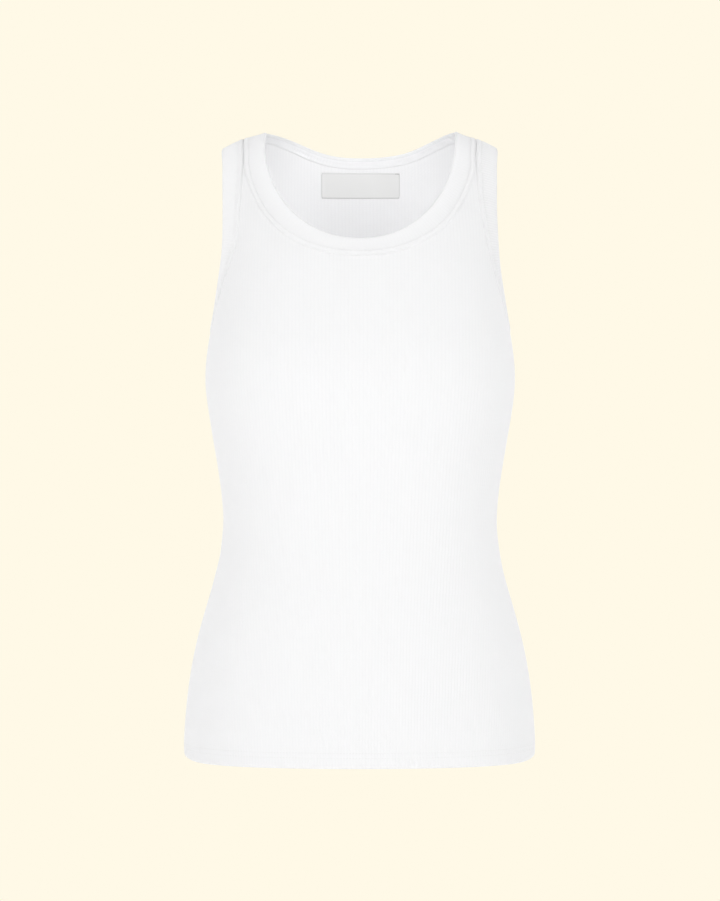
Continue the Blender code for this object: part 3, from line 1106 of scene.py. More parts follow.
@dataclass
class Wardrobe:
    """The garment's finishes, each made once.

    The bands are of two or more layers, so they are denser than the panels and let no light
    through. Besides the plain band, they have copies of the finish with light and shade painted
    in: pressed is paler, a painted highlight on the inner leaves, on the ridges
    beyond the stitches and all over the -X armhole's band; fold_shade is darker, painted shade on
    the inner half of the neck band's fold; spread is as pale, with stronger painted shade between
    the ribs of the +X armhole's band.
    """

    panel: bpy.types.Material = field(init=False)
    band: bpy.types.Material = field(init=False)
    fold_shade: bpy.types.Material = field(init=False)
    pressed: bpy.types.Material = field(init=False)
    spread: bpy.types.Material = field(init=False)
    thread: bpy.types.Material = field(init=False)
    ribbon: bpy.types.Material = field(init=False)
    tack: bpy.types.Material = field(init=False)

    def __post_init__(self) -> None:
        """Make the shader groups and the materials."""
        knit = knit_group()
        white = (0.93, 0.93, 0.935, 1.0)
        self.panel = KnitFinish("rib knit", white, (0.89, 0.89, 0.90, 1.0)).material(knit)
        # The palest white is a painted highlight
        pale, highlight_white = (0.935, 0.935, 0.94, 1.0), (0.98, 0.98, 0.985, 1.0)
        self.band, self.fold_shade, self.pressed, self.spread = (
            KnitFinish(name, light, hollow_shade, sheen=0.03, see_through=0.0).material(knit)
            for name, light, hollow_shade in (
                ("band rib knit", pale, (0.915, 0.915, 0.92, 1.0)),
                # darker copy: painted shade on the neck band's fold
                ("folded band rib knit", (0.885, 0.885, 0.89, 1.0), (0.865, 0.865, 0.87, 1.0)),
                # paler copy: painted highlight
                ("pressed band rib knit", highlight_white, (0.96, 0.96, 0.965, 1.0)),
                # paler copy with stronger painted shade between its ribs
                ("highlight and rib shade band rib knit", highlight_white, (0.87, 0.87, 0.875, 1.0)),
            )
        )
        self.thread = ThreadFinish("white thread", (0.90, 0.90, 0.90, 1.0)).material()
        finish = RibbonFinish("label ribbon", (0.82, 0.82, 0.81, 1.0), (0.74, 0.74, 0.735, 1.0))
        self.ribbon = finish.material(ribbon_group())
        self.tack = ThreadFinish("label thread", (0.30, 0.30, 0.30, 1.0)).material()


# ---------------------------------------------------------------------------------------------
# Panels


# Where the rows of vertices lie: on both sides of each stitch line, and up the turned cloth
STITCH_LINE_ROWS = (1.5, 0.7, 0.0, -0.7, -1.5)
TURNED_ROWS = (3.5, 7.5, 11.0)

# How many places of each rib are tabulated, and how far short of the table's end a place stays
RIB_PARTS = 4
TABLE_MARGIN = 1.001


@dataclass
class BodyPanel:
    """A front or back panel: ribbed cloth from under the bands to its turned-up hem.

    Its ribs are stretched flatter over the chest and shoulders, to the share upper_relief, and
    stand up to their full relief over the stretch of the strap's column named stretched_flat.
    """

    name: str
    node: str
    behind: bool
    neck: Edge
    arm: Edge
    flat: tuple[float, float]
    area: float
    upper_relief: float
    relief: float = 0.13
    stretched_flat: tuple[float, float] = (170.0, 235.0)
    wall: float = 1.0
    hem_fold: float = 1.2
    row_step: float = 8.7
    above_stitches: float = 2.5
    below_stitches: float = 4.0
    fold_rows: int = 7
    stitch_dent: float = 0.11
    stitch_dent_width: float = 0.8
    raw_edge: float = 8.5
    edge_margin: float = 1.4
    band_reach: float = 260.0
    well_inside: float = -50.0
    side_gap: float = 0.12
    side_roll: float = 0.55
    side_roll_width: float = 1.1
    seam_rib_width: float = 3.0
    course: float = 1.25
    past_seam: float = math.radians(1.5)
    near_ridge: float = 0.05
    table_levels: int = 260
    table_angles: int = 420
    points_at_once: int = 2000

    def __post_init__(self) -> None:
        """Work out where the rows and the ribs run over the form."""
        self.middle = math.pi if self.behind else 0.0
        strap = BACK_STRAP_COLUMN if self.behind else FRONT_STRAP_COLUMN
        self.level_table = np.linspace(0.0, math.sqrt(HEM), self.table_levels)
        column = FORM.point(self.level_table, np.full(self.table_levels, strap))
        steps = np.linalg.norm(np.diff(column, axis=0), axis=1)
        self.run_table = np.concatenate([[0], np.cumsum(steps)])
        self.map_ribs()
        self.rows = self.row_runs()

    def map_ribs(self) -> None:
        """Tabulate the angle of every part of a rib at every level, and the side seam's rib."""
        past_seam = -self.past_seam if self.behind else self.past_seam
        angles = np.linspace(self.middle, SIDE_SEAM_ANGLE + past_seam, self.table_angles)
        points = FORM.point(self.level_table[:, None], angles[None, :])
        steps = np.linalg.norm(np.diff(points, axis=1), axis=2)
        around = np.concatenate([np.zeros((self.table_levels, 1)), np.cumsum(steps, axis=1)], axis=1)
        depths = [row.below_ridge for row in RIB_PITCHES]
        self.pitch = np.interp(self.level_table**2, depths, [row.pitch for row in RIB_PITCHES])
        ribs = around / self.pitch[:, None]
        self.rib_count = int(math.ceil(ribs.max())) + 1
        parts = np.arange(RIB_PARTS * self.rib_count + 1) / RIB_PARTS
        self.angle_table = np.array([np.interp(parts, row, angles) for row in ribs])
        share = abs(SIDE_SEAM_ANGLE - self.middle) / abs(angles[-1] - self.middle)
        seam_index = share * (self.table_angles - 1)
        below, part = int(seam_index), seam_index - int(seam_index)
        seam_around = around[:, below] * (1 - part) + around[:, below + 1] * part
        self.seam_ribs = (seam_around - self.side_gap) / self.pitch

    def row_runs(self) -> Array:
        """How far down the strap's column each row of vertices lies, on past the hem's fold.

        Returns:
            The rows' runs, even over the body and closer together at the hem.
        """
        end = self.run_table[-1] - self.hem_fold
        near = [line + off - self.hem_fold for line in HEM_STITCH_HEIGHTS for off in STITCH_LINE_ROWS]
        top = near[0] + self.above_stitches
        body = np.linspace(0, end - top, int(round((end - top) / self.row_step)) + 1)
        fold = end + np.linspace(0, math.pi * self.hem_fold, self.fold_rows)
        turned = fold[-1] + np.array([*TURNED_ROWS, HEM_TURN - self.hem_fold])
        return np.concatenate([body, end - np.array(near), [end - self.below_stitches], fold, turned])

    def place(self, ribs: Array, runs: Array) -> tuple[Array, Array, Array]:
        """Lay places of the panel on the form.

        Args:
            ribs: How many ribs each place is from the middle, negative towards -X.
            runs: How far down the strap's column it lies, on past the hem's fold.

        Returns:
            The points, their outward normals, and the offset that the hem's fold gives them.
        """
        end = self.run_table[-1] - self.hem_fold
        turn = np.clip((runs - end) / self.hem_fold, 0, math.pi)
        up = np.maximum(runs - end - math.pi * self.hem_fold, 0)
        down = np.minimum(runs, end) + self.hem_fold * np.sin(turn) - up
        level = np.interp(down, self.run_table, self.level_table)
        fold = -self.hem_fold * (1 - np.cos(turn))
        row = np.interp(level, self.level_table, np.arange(self.table_levels))
        table = self.angle_table
        column = np.clip(np.abs(ribs) * RIB_PARTS, 0, table.shape[1] - TABLE_MARGIN)
        i, j = np.minimum(row.astype(int), self.table_levels - 2), column.astype(int)
        down_share, across_share = row - i, column - j
        upper = table[i, j] * (1 - across_share) + table[i, j + 1] * across_share
        lower = table[i + 1, j] * (1 - across_share) + table[i + 1, j + 1] * across_share
        angle = upper * (1 - down_share) + lower * down_share
        side = np.where(ribs < 0, -1.0, 1.0)
        mirror = np.stack([side, np.ones_like(side), np.ones_like(side)], axis=-1)
        points = FORM.point(level, angle) * mirror
        normals = FORM.normal(np.maximum(level, self.near_ridge), angle) * mirror
        if self.behind:
            normals = normals * np.sign(np.sum(normals * (points - BODY_MIDDLE), -1, keepdims=True))
        return points, normals, fold + crease_relief(level, angle, side)

    def outside(self, points: Array, edge: Edge) -> Array:
        """How far each point is out of the cloth, past its raw edge inside a band.

        Args:
            points: Points of the form.
            edge: The finished edge that the band binds.

        Returns:
            Distances, below zero where there is cloth.
        """
        line, way = edge.line(np.full(edge.width.shape, self.raw_edge))
        line = np.vstack([line, line * MIRROR])
        way = np.vstack([way, way * MIRROR])
        result = np.empty(len(points))
        for first in range(0, len(points), self.points_at_once):
            batch = slice(first, first + self.points_at_once)
            some = points[batch]
            gaps = np.sum((some[:, None, :] - line[None, :, :]) ** 2, axis=2)
            nearest = np.argmin(gaps, axis=1)
            result[batch] = -np.sum((some - line[nearest]) * way[nearest], axis=1)
        return result

    def cut(
        self, bm: bmesh.types.BMesh, field_of: Callable[[Array, Array], Array], margin: float = 0.0
    ) -> None:
        """Cut away the cloth where a field over the flat grid is above zero.

        Args:
            bm: The flat grid.
            field_of: The field, from ribs and runs.
            margin: How far inside the cut another line of vertices runs, which keeps the cloth
                smooth up to it, or 0 for none.
        """
        flat = np.array([vertex.co[:] for vertex in bm.verts])
        ribs, runs = self.counts(flat)
        for vertex, height in zip(bm.verts, field_of(ribs, runs)):
            vertex.co.z = height
        for inside in (margin, 0.0) if margin else (0.0,):
            bmesh.ops.bisect_plane(
                bm,
                geom=bm.verts[:] + bm.edges[:] + bm.faces[:],
                dist=CUT_SNAP,
                plane_co=(0, 0, -inside),
                plane_no=(0, 0, 1),
                clear_outer=inside == 0.0,
            )

    def counts(self, flat: Array) -> tuple[Array, Array]:
        """The ribs and runs of places on the flat grid.

        Args:
            flat: The places, where each cell of the grid is one unit wide.

        Returns:
            Their ribs and their runs.
        """
        ribs = np.interp(flat[:, 0], np.arange(len(self.columns)), self.columns)
        return ribs, np.interp(flat[:, 1], np.arange(len(self.rows)), self.rows)

    def past_band(self, edge: Edge) -> Callable[[Array, Array], Array]:
        """The field that cuts the panel along its raw edge inside a band.

        Args:
            edge: The finished edge that the band binds.

        Returns:
            A function of ribs and runs.
        """

        def field_of(ribs: Array, runs: Array) -> Array:
            """How far places are past the raw edge.

            Args:
                ribs: Their ribs.
                runs: Their runs.

            Returns:
                Distances, below zero where there is cloth.
            """
            distance = np.full(len(ribs), self.well_inside)
            near = runs < self.band_reach
            points = self.place(ribs[near], runs[near])[0]
            distance[near] = self.outside(points, edge)
            return distance

        return field_of

    def past_side(self, ribs: Array, runs: Array) -> Array:
        """How far places are past the side seams, in ribs."""
        return np.abs(ribs) - self.seam_at(runs)

    def seam_at(self, runs: Array) -> Array:
        """The side seam's place in ribs, at each run."""
        down = np.minimum(runs, self.run_table[-1] - self.hem_fold)
        return np.interp(down, self.run_table, self.seam_ribs)

    def surface(self, ribs: Array, runs: Array) -> Array:
        """The finished outer surface: ribs, stitch lines and the rolled side edges.

        Args:
            ribs: How many ribs each place is from the middle.
            runs: How far down the strap's column it lies.

        Returns:
            The points of the surface.
        """
        points, normals, offset = self.place(ribs, runs)
        from_seam = (self.seam_at(runs) - np.abs(ribs)) * self.seam_rib_width
        end = self.run_table[-1]
        first, last = self.stretched_flat
        slack = smooth_step((runs - first) / (last - first))
        height = self.relief * (self.upper_relief + (1 - self.upper_relief) * slack)
        relief = height * (rib_height(ribs) - 1)
        for above_hem in HEM_STITCH_HEIGHTS:
            dent = bump_at(runs - (end - above_hem), self.stitch_dent_width)
            relief = relief - self.stitch_dent * dent
        relief = relief - self.side_roll * bump_at(from_seam, self.side_roll_width)
        return points + (offset + relief)[:, None] * normals

    def build(self, material: bpy.types.Material) -> bpy.types.Object:
        """Cut the panel from a flat grid and lay it on the form.

        Args:
            material: The cloth's finish.

        Returns:
            The finished panel.
        """
        self.columns = rib_columns(-self.rib_count, self.rib_count)
        wide, tall = len(self.columns) - 1, len(self.rows) - 1
        bm = bmesh.new()
        bmesh.ops.create_grid(bm, x_segments=wide, y_segments=tall, size=0.5)
        for vertex in bm.verts:
            vertex.co.x = round((vertex.co.x + 0.5) * wide)
            vertex.co.y = round((vertex.co.y + 0.5) * tall)
        self.cut(bm, self.past_side)
        self.cut(bm, self.past_band(self.arm), self.edge_margin)
        self.cut(bm, self.past_band(self.neck), self.edge_margin)
        ribs, runs = self.counts(np.array([vertex.co[:] for vertex in bm.verts]))
        places = metres(settle(self.surface(ribs, runs)))
        for vertex, place in zip(bm.verts, places):
            vertex.co = place
        write_uv(bm, np.stack([ribs, runs / self.course], axis=1))
        face_outwards(bm, lambda face: np.array(face.calc_center_median()) * [1, 1, 0])
        made = new_object(self.name, bm, material)
        thicken(made, self.wall)
        set_down(made, self.node, self.node)
        return made


# ---------------------------------------------------------------------------------------------
# Bands


class Zone(Enum):
    """The parts of a band's strip, by the slot of their finish.

    They are its outer leaf, the inner half of its fold, which on the neck band is darker as painted shade,
    and its inner leaf with the ridge beyond its stitches, which are paler as a painted highlight.
    """

    LEAF = 0
    FOLD = 1
    PRESSED = 2


class ProfileRow(NamedTuple):
    """One row of a folded band, across it, and the zone that starts there.

    Its distance from the finished edge is by_width times the band's width, plus distance. Its
    offset is how far the row stands out of the form, and ribbed is how much of the ribs shows.
    Sink is how far it goes down on to the panel, which it does less on the straps.
    """

    by_width: float
    distance: float
    offset: float
    ribbed: float
    zone: Zone = Zone.LEAF
    sink: float = 0.0


class RawEdgeRow(NamedTuple):
    """One row at the inner leaf's raw edge: its distance from it, its rise, and its ribs' share."""

    back: float
    rise: float
    ribbed: float


RAW_EDGE_ROWS = (
    RawEdgeRow(0.0, 0.30, 0.2),
    RawEdgeRow(0.6, 0.20, 0.5),
    RawEdgeRow(1.3, 0.07, 0.8),
    RawEdgeRow(2.1, 0.0, 1.0),
)

# The other rows: those of the inner leaf by their distance from the fold, and those of the outer
# leaf by their share of its width and then by their distance from its edge
INNER_LEAF_ROWS = (7.4, 6.2, 5.0, 3.9, 2.8)
OUTER_LEAF_ROWS = (0.14, 0.32, 0.5, 0.68, 0.86)
OUTER_EDGE_ROWS = (6.7, 5.8, 5.1, 4.4, 3.6, 2.8, 2.0, 1.4, 1.0, 0.65, 0.35, 0.1, 0.0)


@dataclass
class BandProfile:
    """The section of a folded band: its inner leaf, its fold and its outer leaf.

    The outer leaf puffs up towards the fold, sinks in a groove under the needle, and has a soft
    ridge beyond it that rolls down on to the panel. The inner leaf is pressed on to the panel.
    """

    outer: float = 0.36
    fold_radius: float = 1.25
    fold_steps: int = 6
    ribbed_on_fold: float = 0.55
    ribbed_by_fold: float = 0.9
    inner_width: float = 10.4
    inner_lift: float = 0.90
    inner_rise: float = 4.6
    puff: float = 0.04
    needle: float = 5.1
    groove_depth: float = 0.20
    groove_width: float = 0.6
    groove_bank: float = 1.6
    ridge: float = 0.17
    ridge_place: float = 2.2
    ridge_width: float = 1.6
    highlight_beyond_needle: float = 0.5
    edge_drop: float = 0.44
    edge_run: float = 1.7
    ribbed_at_edge: float = 0.3
    drop_on_straps: float = 0.6
    strap_height: float = -50.0
    strap_blend: float = 22.0

    def rows(self) -> list[ProfileRow]:
        """All the rows, from the inner leaf's raw edge round the fold to the outer leaf's edge."""
        return self.inner_rows() + self.fold_rows() + self.outer_rows()

    def inner_rows(self) -> list[ProfileRow]:
        """The inner leaf, from its raw edge to where it lifts into the fold.

        Returns:
            Its rows.
        """
        inner = self.outer - 2 * self.fold_radius
        pressed = inner + self.inner_lift
        rows = [
            ProfileRow(0.0, self.inner_width - row.back, pressed + row.rise, row.ribbed, Zone.PRESSED)
            for row in RAW_EDGE_ROWS
        ]
        fold_start = INNER_LEAF_ROWS[-1]
        for distance in INNER_LEAF_ROWS:
            lift = self.inner_lift * float(smooth_step((distance - fold_start) / self.inner_rise))
            # The inner leaf takes the paler finish, a painted highlight, up to the fold
            zone = Zone.FOLD if distance == fold_start else Zone.PRESSED
            rows.append(ProfileRow(0.0, distance, inner + lift, 1.0, zone))
        return rows

    def fold_rows(self) -> list[ProfileRow]:
        """The round of the fold, from inside to outside.

        Returns:
            Its rows.
        """
        rows = []
        for k in range(self.fold_steps + 1):
            turn = math.pi * k / self.fold_steps
            distance = self.fold_radius * (1 - math.sin(turn))
            offset = self.outer - self.fold_radius * (1 + math.cos(turn))
            ribbed = self.ribbed_on_fold if 0 < k < self.fold_steps else self.ribbed_by_fold
            # The inner half of the fold takes the fold's finish, which on the neck band is darker: painted
            # shade
            zone = Zone.FOLD if 2 * k < self.fold_steps else Zone.LEAF
            rows.append(ProfileRow(0.0, distance, offset, ribbed, zone))
        return rows

    def outer_rows(self) -> list[ProfileRow]:
        """The outer leaf, from the fold over the groove and the ridge to its edge.

        Returns:
            Its rows.
        """
        rows = []
        first, last = self.fold_radius, self.needle + self.groove_bank
        for share in OUTER_LEAF_ROWS:
            puff = self.puff * math.sin(math.pi * share)
            rows.append(ProfileRow(share, first - share * (first + last), self.outer + puff, 1.0))
        for from_edge in OUTER_EDGE_ROWS:
            offset = self.outer + self.edge_relief(from_edge)
            ribbed = min(1.0, self.ribbed_at_edge + from_edge / self.edge_run)
            sink = float(self.edge_drop * smooth_step(1 - from_edge / self.edge_run))
            # The ridge beyond the stitches takes the paler finish, a painted highlight
            is_highlight = from_edge < self.needle - self.highlight_beyond_needle
            zone = Zone.PRESSED if is_highlight else Zone.LEAF
            rows.append(ProfileRow(1.0, -from_edge, offset, ribbed, zone, sink))
        return rows

    def edge_relief(self, from_edge: float) -> float:
        """The relief of the outer leaf near its edge.

        Args:
            from_edge: How far from the edge it is.

        Returns:
            How far the ridge or the groove moves it out.
        """
        groove = self.groove_depth * bump_at(from_edge - self.needle, self.groove_width)
        ridge = self.ridge * bump_at(from_edge - self.ridge_place, self.ridge_width)
        return float(ridge - groove)

    def sinking(self, height: Array) -> Array:
        """The share of the sink at each height: less up on the straps, where two bands meet."""
        on_strap = smooth_step((height - self.strap_height) / self.strap_blend)
        return 1 - (1 - self.drop_on_straps) * on_strap


class BandTable(NamedTuple):
    """A band's rows laid on the form.

    It has a point, a normal and a crease offset for each row and station, and how far along the
    band each station is.
    """

    points: Array
    normals: Array
    crease: Array
    run: Array


@dataclass
class FoldedBand:
    """A strip of rib knit, ribs across, folded in two over an edge and stitched down.

    Its ends are joined at the place along it named join, by a seam that leans by join_lean. Its
    loops are shifted by row_shift from row to row, so that they don't line up over the fold.
    """

    name: str
    node: str
    edge: Edge
    side: Side
    rib_pitch: float
    flat: tuple[float, float]
    join: float
    join_lean: float
    profile: BandProfile = field(default_factory=BandProfile)
    relief: float = 0.09
    wall: float = 0.42
    join_depth: float = 0.50
    join_width: float = 0.85
    course: float = 1.1
    row_shift: float = 2.0
    stitch_bedding: float = 0.4

    def lay(self, rows: Sequence[ProfileRow]) -> BandTable:
        """Lay rows on the form, at the edge's stations and all the way round.

        Args:
            rows: The rows of the profile.

        Returns:
            The table of them, measured along a row of the outer leaf.
        """
        points, normals, crease = [], [], []
        for row in rows:
            level, angle = self.edge.at(row.by_width * self.edge.width + row.distance)
            points.append(FORM.point(level, angle))
            normals.append(FORM.normal(level, angle))
            side = np.full(level.shape, float(self.side.value) if self.edge.is_loop else 1.0)
            crease.append(np.stack([crease_relief(level, angle, s * side) for s in (1, -1)]))
        points, normals, crease = np.array(points), np.array(normals), np.array(crease)
        if self.edge.is_loop:
            mirror = np.array([self.side.value, 1.0, 1.0])
            points, normals, crease = (
                np.concatenate([table, table[:, :1]], axis=1)
                for table in (points * mirror, normals * mirror, crease[:, 0])
            )
        else:
            points = np.concatenate([points, points[:, -2::-1] * MIRROR], axis=1)
            normals = np.concatenate([normals, normals[:, -2::-1] * MIRROR], axis=1)
            crease = np.concatenate([crease[:, 0], crease[:, 1, -2::-1]], axis=1)
        measured = len(rows) * 3 // 5
        steps = np.linalg.norm(np.diff(points[measured], axis=0), axis=1)
        return BandTable(points, normals, crease, np.concatenate([[0], np.cumsum(steps)]))

    def at_runs(self, table: BandTable, runs: Array) -> BandTable:
        """The laid rows at other places along the band.

        Args:
            table: The rows at the edge's stations.
            runs: How far along the band each new place is.

        Returns:
            The rows at the new places.
        """

        def along(values: Array) -> Array:
            """One row's values at the new places."""
            return np.interp(runs, table.run, values)

        def rows_of(values: Array) -> Array:
            """All rows' vectors at the new places."""
            return np.stack([np.stack([along(row[:, k]) for k in range(3)], axis=-1) for row in values])

        crease = np.stack([along(row) for row in table.crease])
        return BandTable(rows_of(table.points), rows_of(table.normals), crease, runs)

    def build(self, finishes: dict[Zone, bpy.types.Material]) -> bpy.types.Object:
        """Make the strip from a grid, lay it round the edge and close its ends.

        Args:
            finishes: The finish of each zone of the strip.

        Returns:
            The finished band.
        """
        rows = self.profile.rows()
        table = self.lay(rows)
        length = table.run[-1]
        rib_count = int(round(length / self.rib_pitch))
        ribs = rib_columns(0, rib_count)
        laid = self.at_runs(table, ribs * length / rib_count)
        across = np.cumsum(np.append(0, np.linalg.norm(np.diff(laid.points[:, 0], axis=0), axis=1)))
        lifted = self.offsets(rows, laid, ribs, across)
        places = metres(settle(laid.points + lifted[:, :, None] * laid.normals))
        wide, tall = len(ribs) - 1, len(rows) - 1
        bm = bmesh.new()
        bmesh.ops.create_grid(bm, x_segments=wide, y_segments=tall, size=0.5)
        row_of, counts = [], []
        for vertex in bm.verts:
            i = round((vertex.co.x + 0.5) * wide)
            j = round((vertex.co.y + 0.5) * tall)
            vertex.co = places[j, i]
            row_of.append(j)
            counts.append((ribs[i], (across[j] + self.row_shift * j) / self.course))
        write_uv(bm, np.array(counts))
        for face in bm.faces:
            face.material_index = rows[min(row_of[vertex.index] for vertex in face.verts)].zone.value
        bmesh.ops.remove_doubles(bm, verts=bm.verts, dist=MERGE_DISTANCE)
        if self.edge.is_loop and self.side is Side.LEFT:
            bmesh.ops.reverse_faces(bm, faces=bm.faces)
        made = new_object(self.name, bm, *(finishes[zone] for zone in Zone))
        thicken(made, self.wall)
        set_down(made, self.node, self.node)
        return made

    def offsets(self, rows: Sequence[ProfileRow], laid: BandTable, ribs: Array, across: Array) -> Array:
        """How far the strip stands out of the form at each row and column of vertices.

        Args:
            rows: The rows of the profile.
            laid: Where they run on the form, at every column.
            ribs: The columns, counted in ribs.
            across: How far across the strip each row is.

        Returns:
            The offsets, with the profile, the ribs, the join and the creases in them.
        """
        sink = np.array([row.sink for row in rows])[:, None] * self.profile.sinking(laid.points[..., 2])
        offset = np.array([row.offset for row in rows])[:, None] - sink
        ribbed = np.array([row.ribbed for row in rows])[:, None]
        relief = self.relief * ribbed * (rib_height(ribs) - 1)[None, :]
        leaning = laid.run[None, :] - self.join - self.join_lean * (across[:, None] - across.mean())
        outward = np.where(np.arange(len(rows)) < self.fold_row(rows), -1.0, 1.0)[:, None]
        seam = -self.join_depth * bump_at(leaning, self.join_width)
        return offset + outward * (relief + seam) + laid.crease

    def fold_row(self, rows: Sequence[ProfileRow]) -> int:
        """The row at the middle of the fold, where the cloth's face turns from inside to outside."""
        return int(np.argmin([row.distance + row.by_width * NECK_BAND_WIDTH for row in rows]))

    def stitch_places(self, pitch: float) -> tuple[Array, Array]:
        """Where the stitches lie in the groove.

        Args:
            pitch: How far apart they are, nearly.

        Returns:
            Their middles and their outward normals.
        """
        from_edge = self.profile.needle
        offset = self.profile.outer + self.profile.edge_relief(from_edge)
        table = self.lay([ProfileRow(1.0, -from_edge, offset, 1.0)])
        count = int(round(table.run[-1] / pitch))
        laid = self.at_runs(table, (np.arange(count) + 0.5) * table.run[-1] / count)
        lift = offset - self.relief * self.stitch_bedding
        return laid.points[0] + (lift + laid.crease[0])[:, None] * laid.normals[0], laid.normals[0]


@dataclass
class Stitching:
    """Rows of short raised stitches, each a slim rounded length of thread."""

    name: str
    slot: str
    length: float = 2.3
    width: float = 0.44
    height: float = 0.34
    pitch: float = 2.9
    batch: int = 30

    def build(
        self, rows: Sequence[tuple[Array, Array, bool]], material: bpy.types.Material
    ) -> bpy.types.Object:
        """Make all the stitches as one mesh.

        Args:
            rows: For each row, the middles of its stitches, their normals, and if it is a loop.
            material: The thread's finish.

        Returns:
            The finished piece.
        """
        whole = bmesh.new()
        for middles, normals, is_loop in rows:
            middles = settle(middles)
            after, before = np.roll(middles, -1, axis=0), np.roll(middles, 1, axis=0)
            if not is_loop:
                after[-1], before[0] = middles[-1], middles[0]
            matrices = [self.matrix(*place) for place in zip(middles, normals, after - before)]
            for first in range(0, len(matrices), self.batch):
                self.add(whole, matrices[first : first + self.batch])
        made = new_object(self.name, whole, material)
        return set_down(made, self.slot)

    def matrix(self, middle: Array, normal: Array, along: Array) -> Matrix:
        """The place, turn and size of one stitch.

        Args:
            middle: Its middle.
            normal: The cloth's outward normal there.
            along: Which way the row runs.

        Returns:
            What turns a ball of radius 1 into the stitch, in metres.
        """
        along = along / np.linalg.norm(along)
        across = np.cross(normal, along)
        across = across / np.linalg.norm(across)
        matrix = np.eye(4)
        matrix[:3, 0] = across * self.width / 2
        matrix[:3, 1] = np.cross(along, across) * self.height / 2
        matrix[:3, 2] = along * self.length / 2
        matrix[:3, 3] = middle
        matrix[:3] *= MM
        return Matrix(matrix)

    def add(self, whole: bmesh.types.BMesh, matrices: Sequence[Matrix]) -> None:
        """Add a short run of stitches by way of a small mesh of their own, which is far quicker.

        Args:
            whole: The mesh of all the stitches.
            matrices: The place, turn and size of each one to add.
        """
        few = bmesh.new()
        for matrix in matrices:
            bmesh.ops.create_uvsphere(few, u_segments=6, v_segments=4, radius=1.0, matrix=matrix)
        mesh = bpy.data.meshes.new("stitches")
        few.to_mesh(mesh)
        few.free()
        whole.from_mesh(mesh)
        bpy.data.meshes.remove(mesh)


# ---------------------------------------------------------------------------------------------
# Label


@dataclass
class NeckLabel:
    """A bare woven label, upright inside the back neck, tacked down at one upper corner.

    It waves a little along and down, and its ends curl. Each tack's place is its distance from
    the label's end.
    """

    width: float = 76.3
    middle: float = 0.9
    top: float = -30.7
    bottom: float = -54.8
    behind_form: float = 1.25
    wall: float = 0.3
    columns: int = 76
    rows: int = 24
    corner: float = 1.1
    wave_along: float = 0.02
    wave_along_run: float = 11.0
    wave_start: float = 0.7
    wave_down: float = 0.01
    wave_down_run: float = 7.0
    curl: float = 0.12
    curl_run: float = 5.0
    tacks: tuple[float, ...] = (0.8, 2.2, 3.6)
    tacks_below_top: float = 0.4
    tack_lift: float = 0.08

    def surface(self, across: Array, height: Array) -> Array:
        """Lay places of the label's back face against the back.

        Args:
            across: How far each place is from the label's middle.
            height: How high it is over the neck points.

        Returns:
            The points.
        """
        level, angle = FORM.find(across + self.middle, height, True)
        along = self.wave_along * np.sin(across / self.wave_along_run + self.wave_start)
        wave = along + self.wave_down * np.sin(height / self.wave_down_run)
        from_end = self.width / 2 - np.abs(across)
        curl = self.curl * smooth_step(1 - from_end / self.curl_run)
        offset = -self.behind_form + wave - curl
        return FORM.point(level, angle) + offset[:, None] * FORM.normal(level, angle)

    def build(self, ribbon: bpy.types.Material, tack: bpy.types.Material) -> bpy.types.Object:
        """Make the ribbon from a grid with its corners rounded, and tack it down.

        Args:
            ribbon: The label's finish.
            tack: The finish of its thread.

        Returns:
            The finished label.
        """
        bm = bmesh.new()
        bmesh.ops.create_grid(bm, x_segments=self.columns, y_segments=self.rows, size=0.5)
        flat = np.array([vertex.co[:] for vertex in bm.verts])
        tall, centre = self.top - self.bottom, (self.top + self.bottom) / 2
        across = flat[:, 0] * self.width
        height = self.bottom + (flat[:, 1] + 0.5) * tall
        from_end = self.width / 2 - np.abs(across)
        from_edge = tall / 2 - np.abs(height - centre)
        near = np.clip(1 - (from_end + from_edge) / (2 * self.corner), 0, 1)
        across = across - np.sign(across) * near * self.corner / 2
        places = metres(settle(self.surface(across, height)))
        for vertex, place in zip(bm.verts, places):
            vertex.co = place
        write_uv(bm, np.stack([across, height - centre], axis=1))
        face_outwards(bm, lambda face: np.array([0.0, 1.0, 0.0]))
        made = new_object("label_ribbon", bm, ribbon)
        thicken(made, self.wall)
        set_down(made, "neck_label", "neck_label")
        stitches = Stitching("label_tacks", "neck_label", length=1.5, width=0.6, height=0.4)
        tacks = stitches.build([self.tack_places()], tack)
        return made

    def tack_places(self) -> tuple[Array, Array, bool]:
        """Where the tacks lie on the label's face, as a row of stitches.

        Returns:
            Their middles, their normals, and that they make no loop.
        """
        across = self.width / 2 - np.array(self.tacks)
        heights = np.full(len(across), self.top - self.tacks_below_top)
        normals = -FORM.normal(*FORM.find(across + self.middle, heights, True))
        return self.surface(across, heights) + (self.wall + self.tack_lift) * normals, normals, False


# ---------------------------------------------------------------------------------------------
# Studio


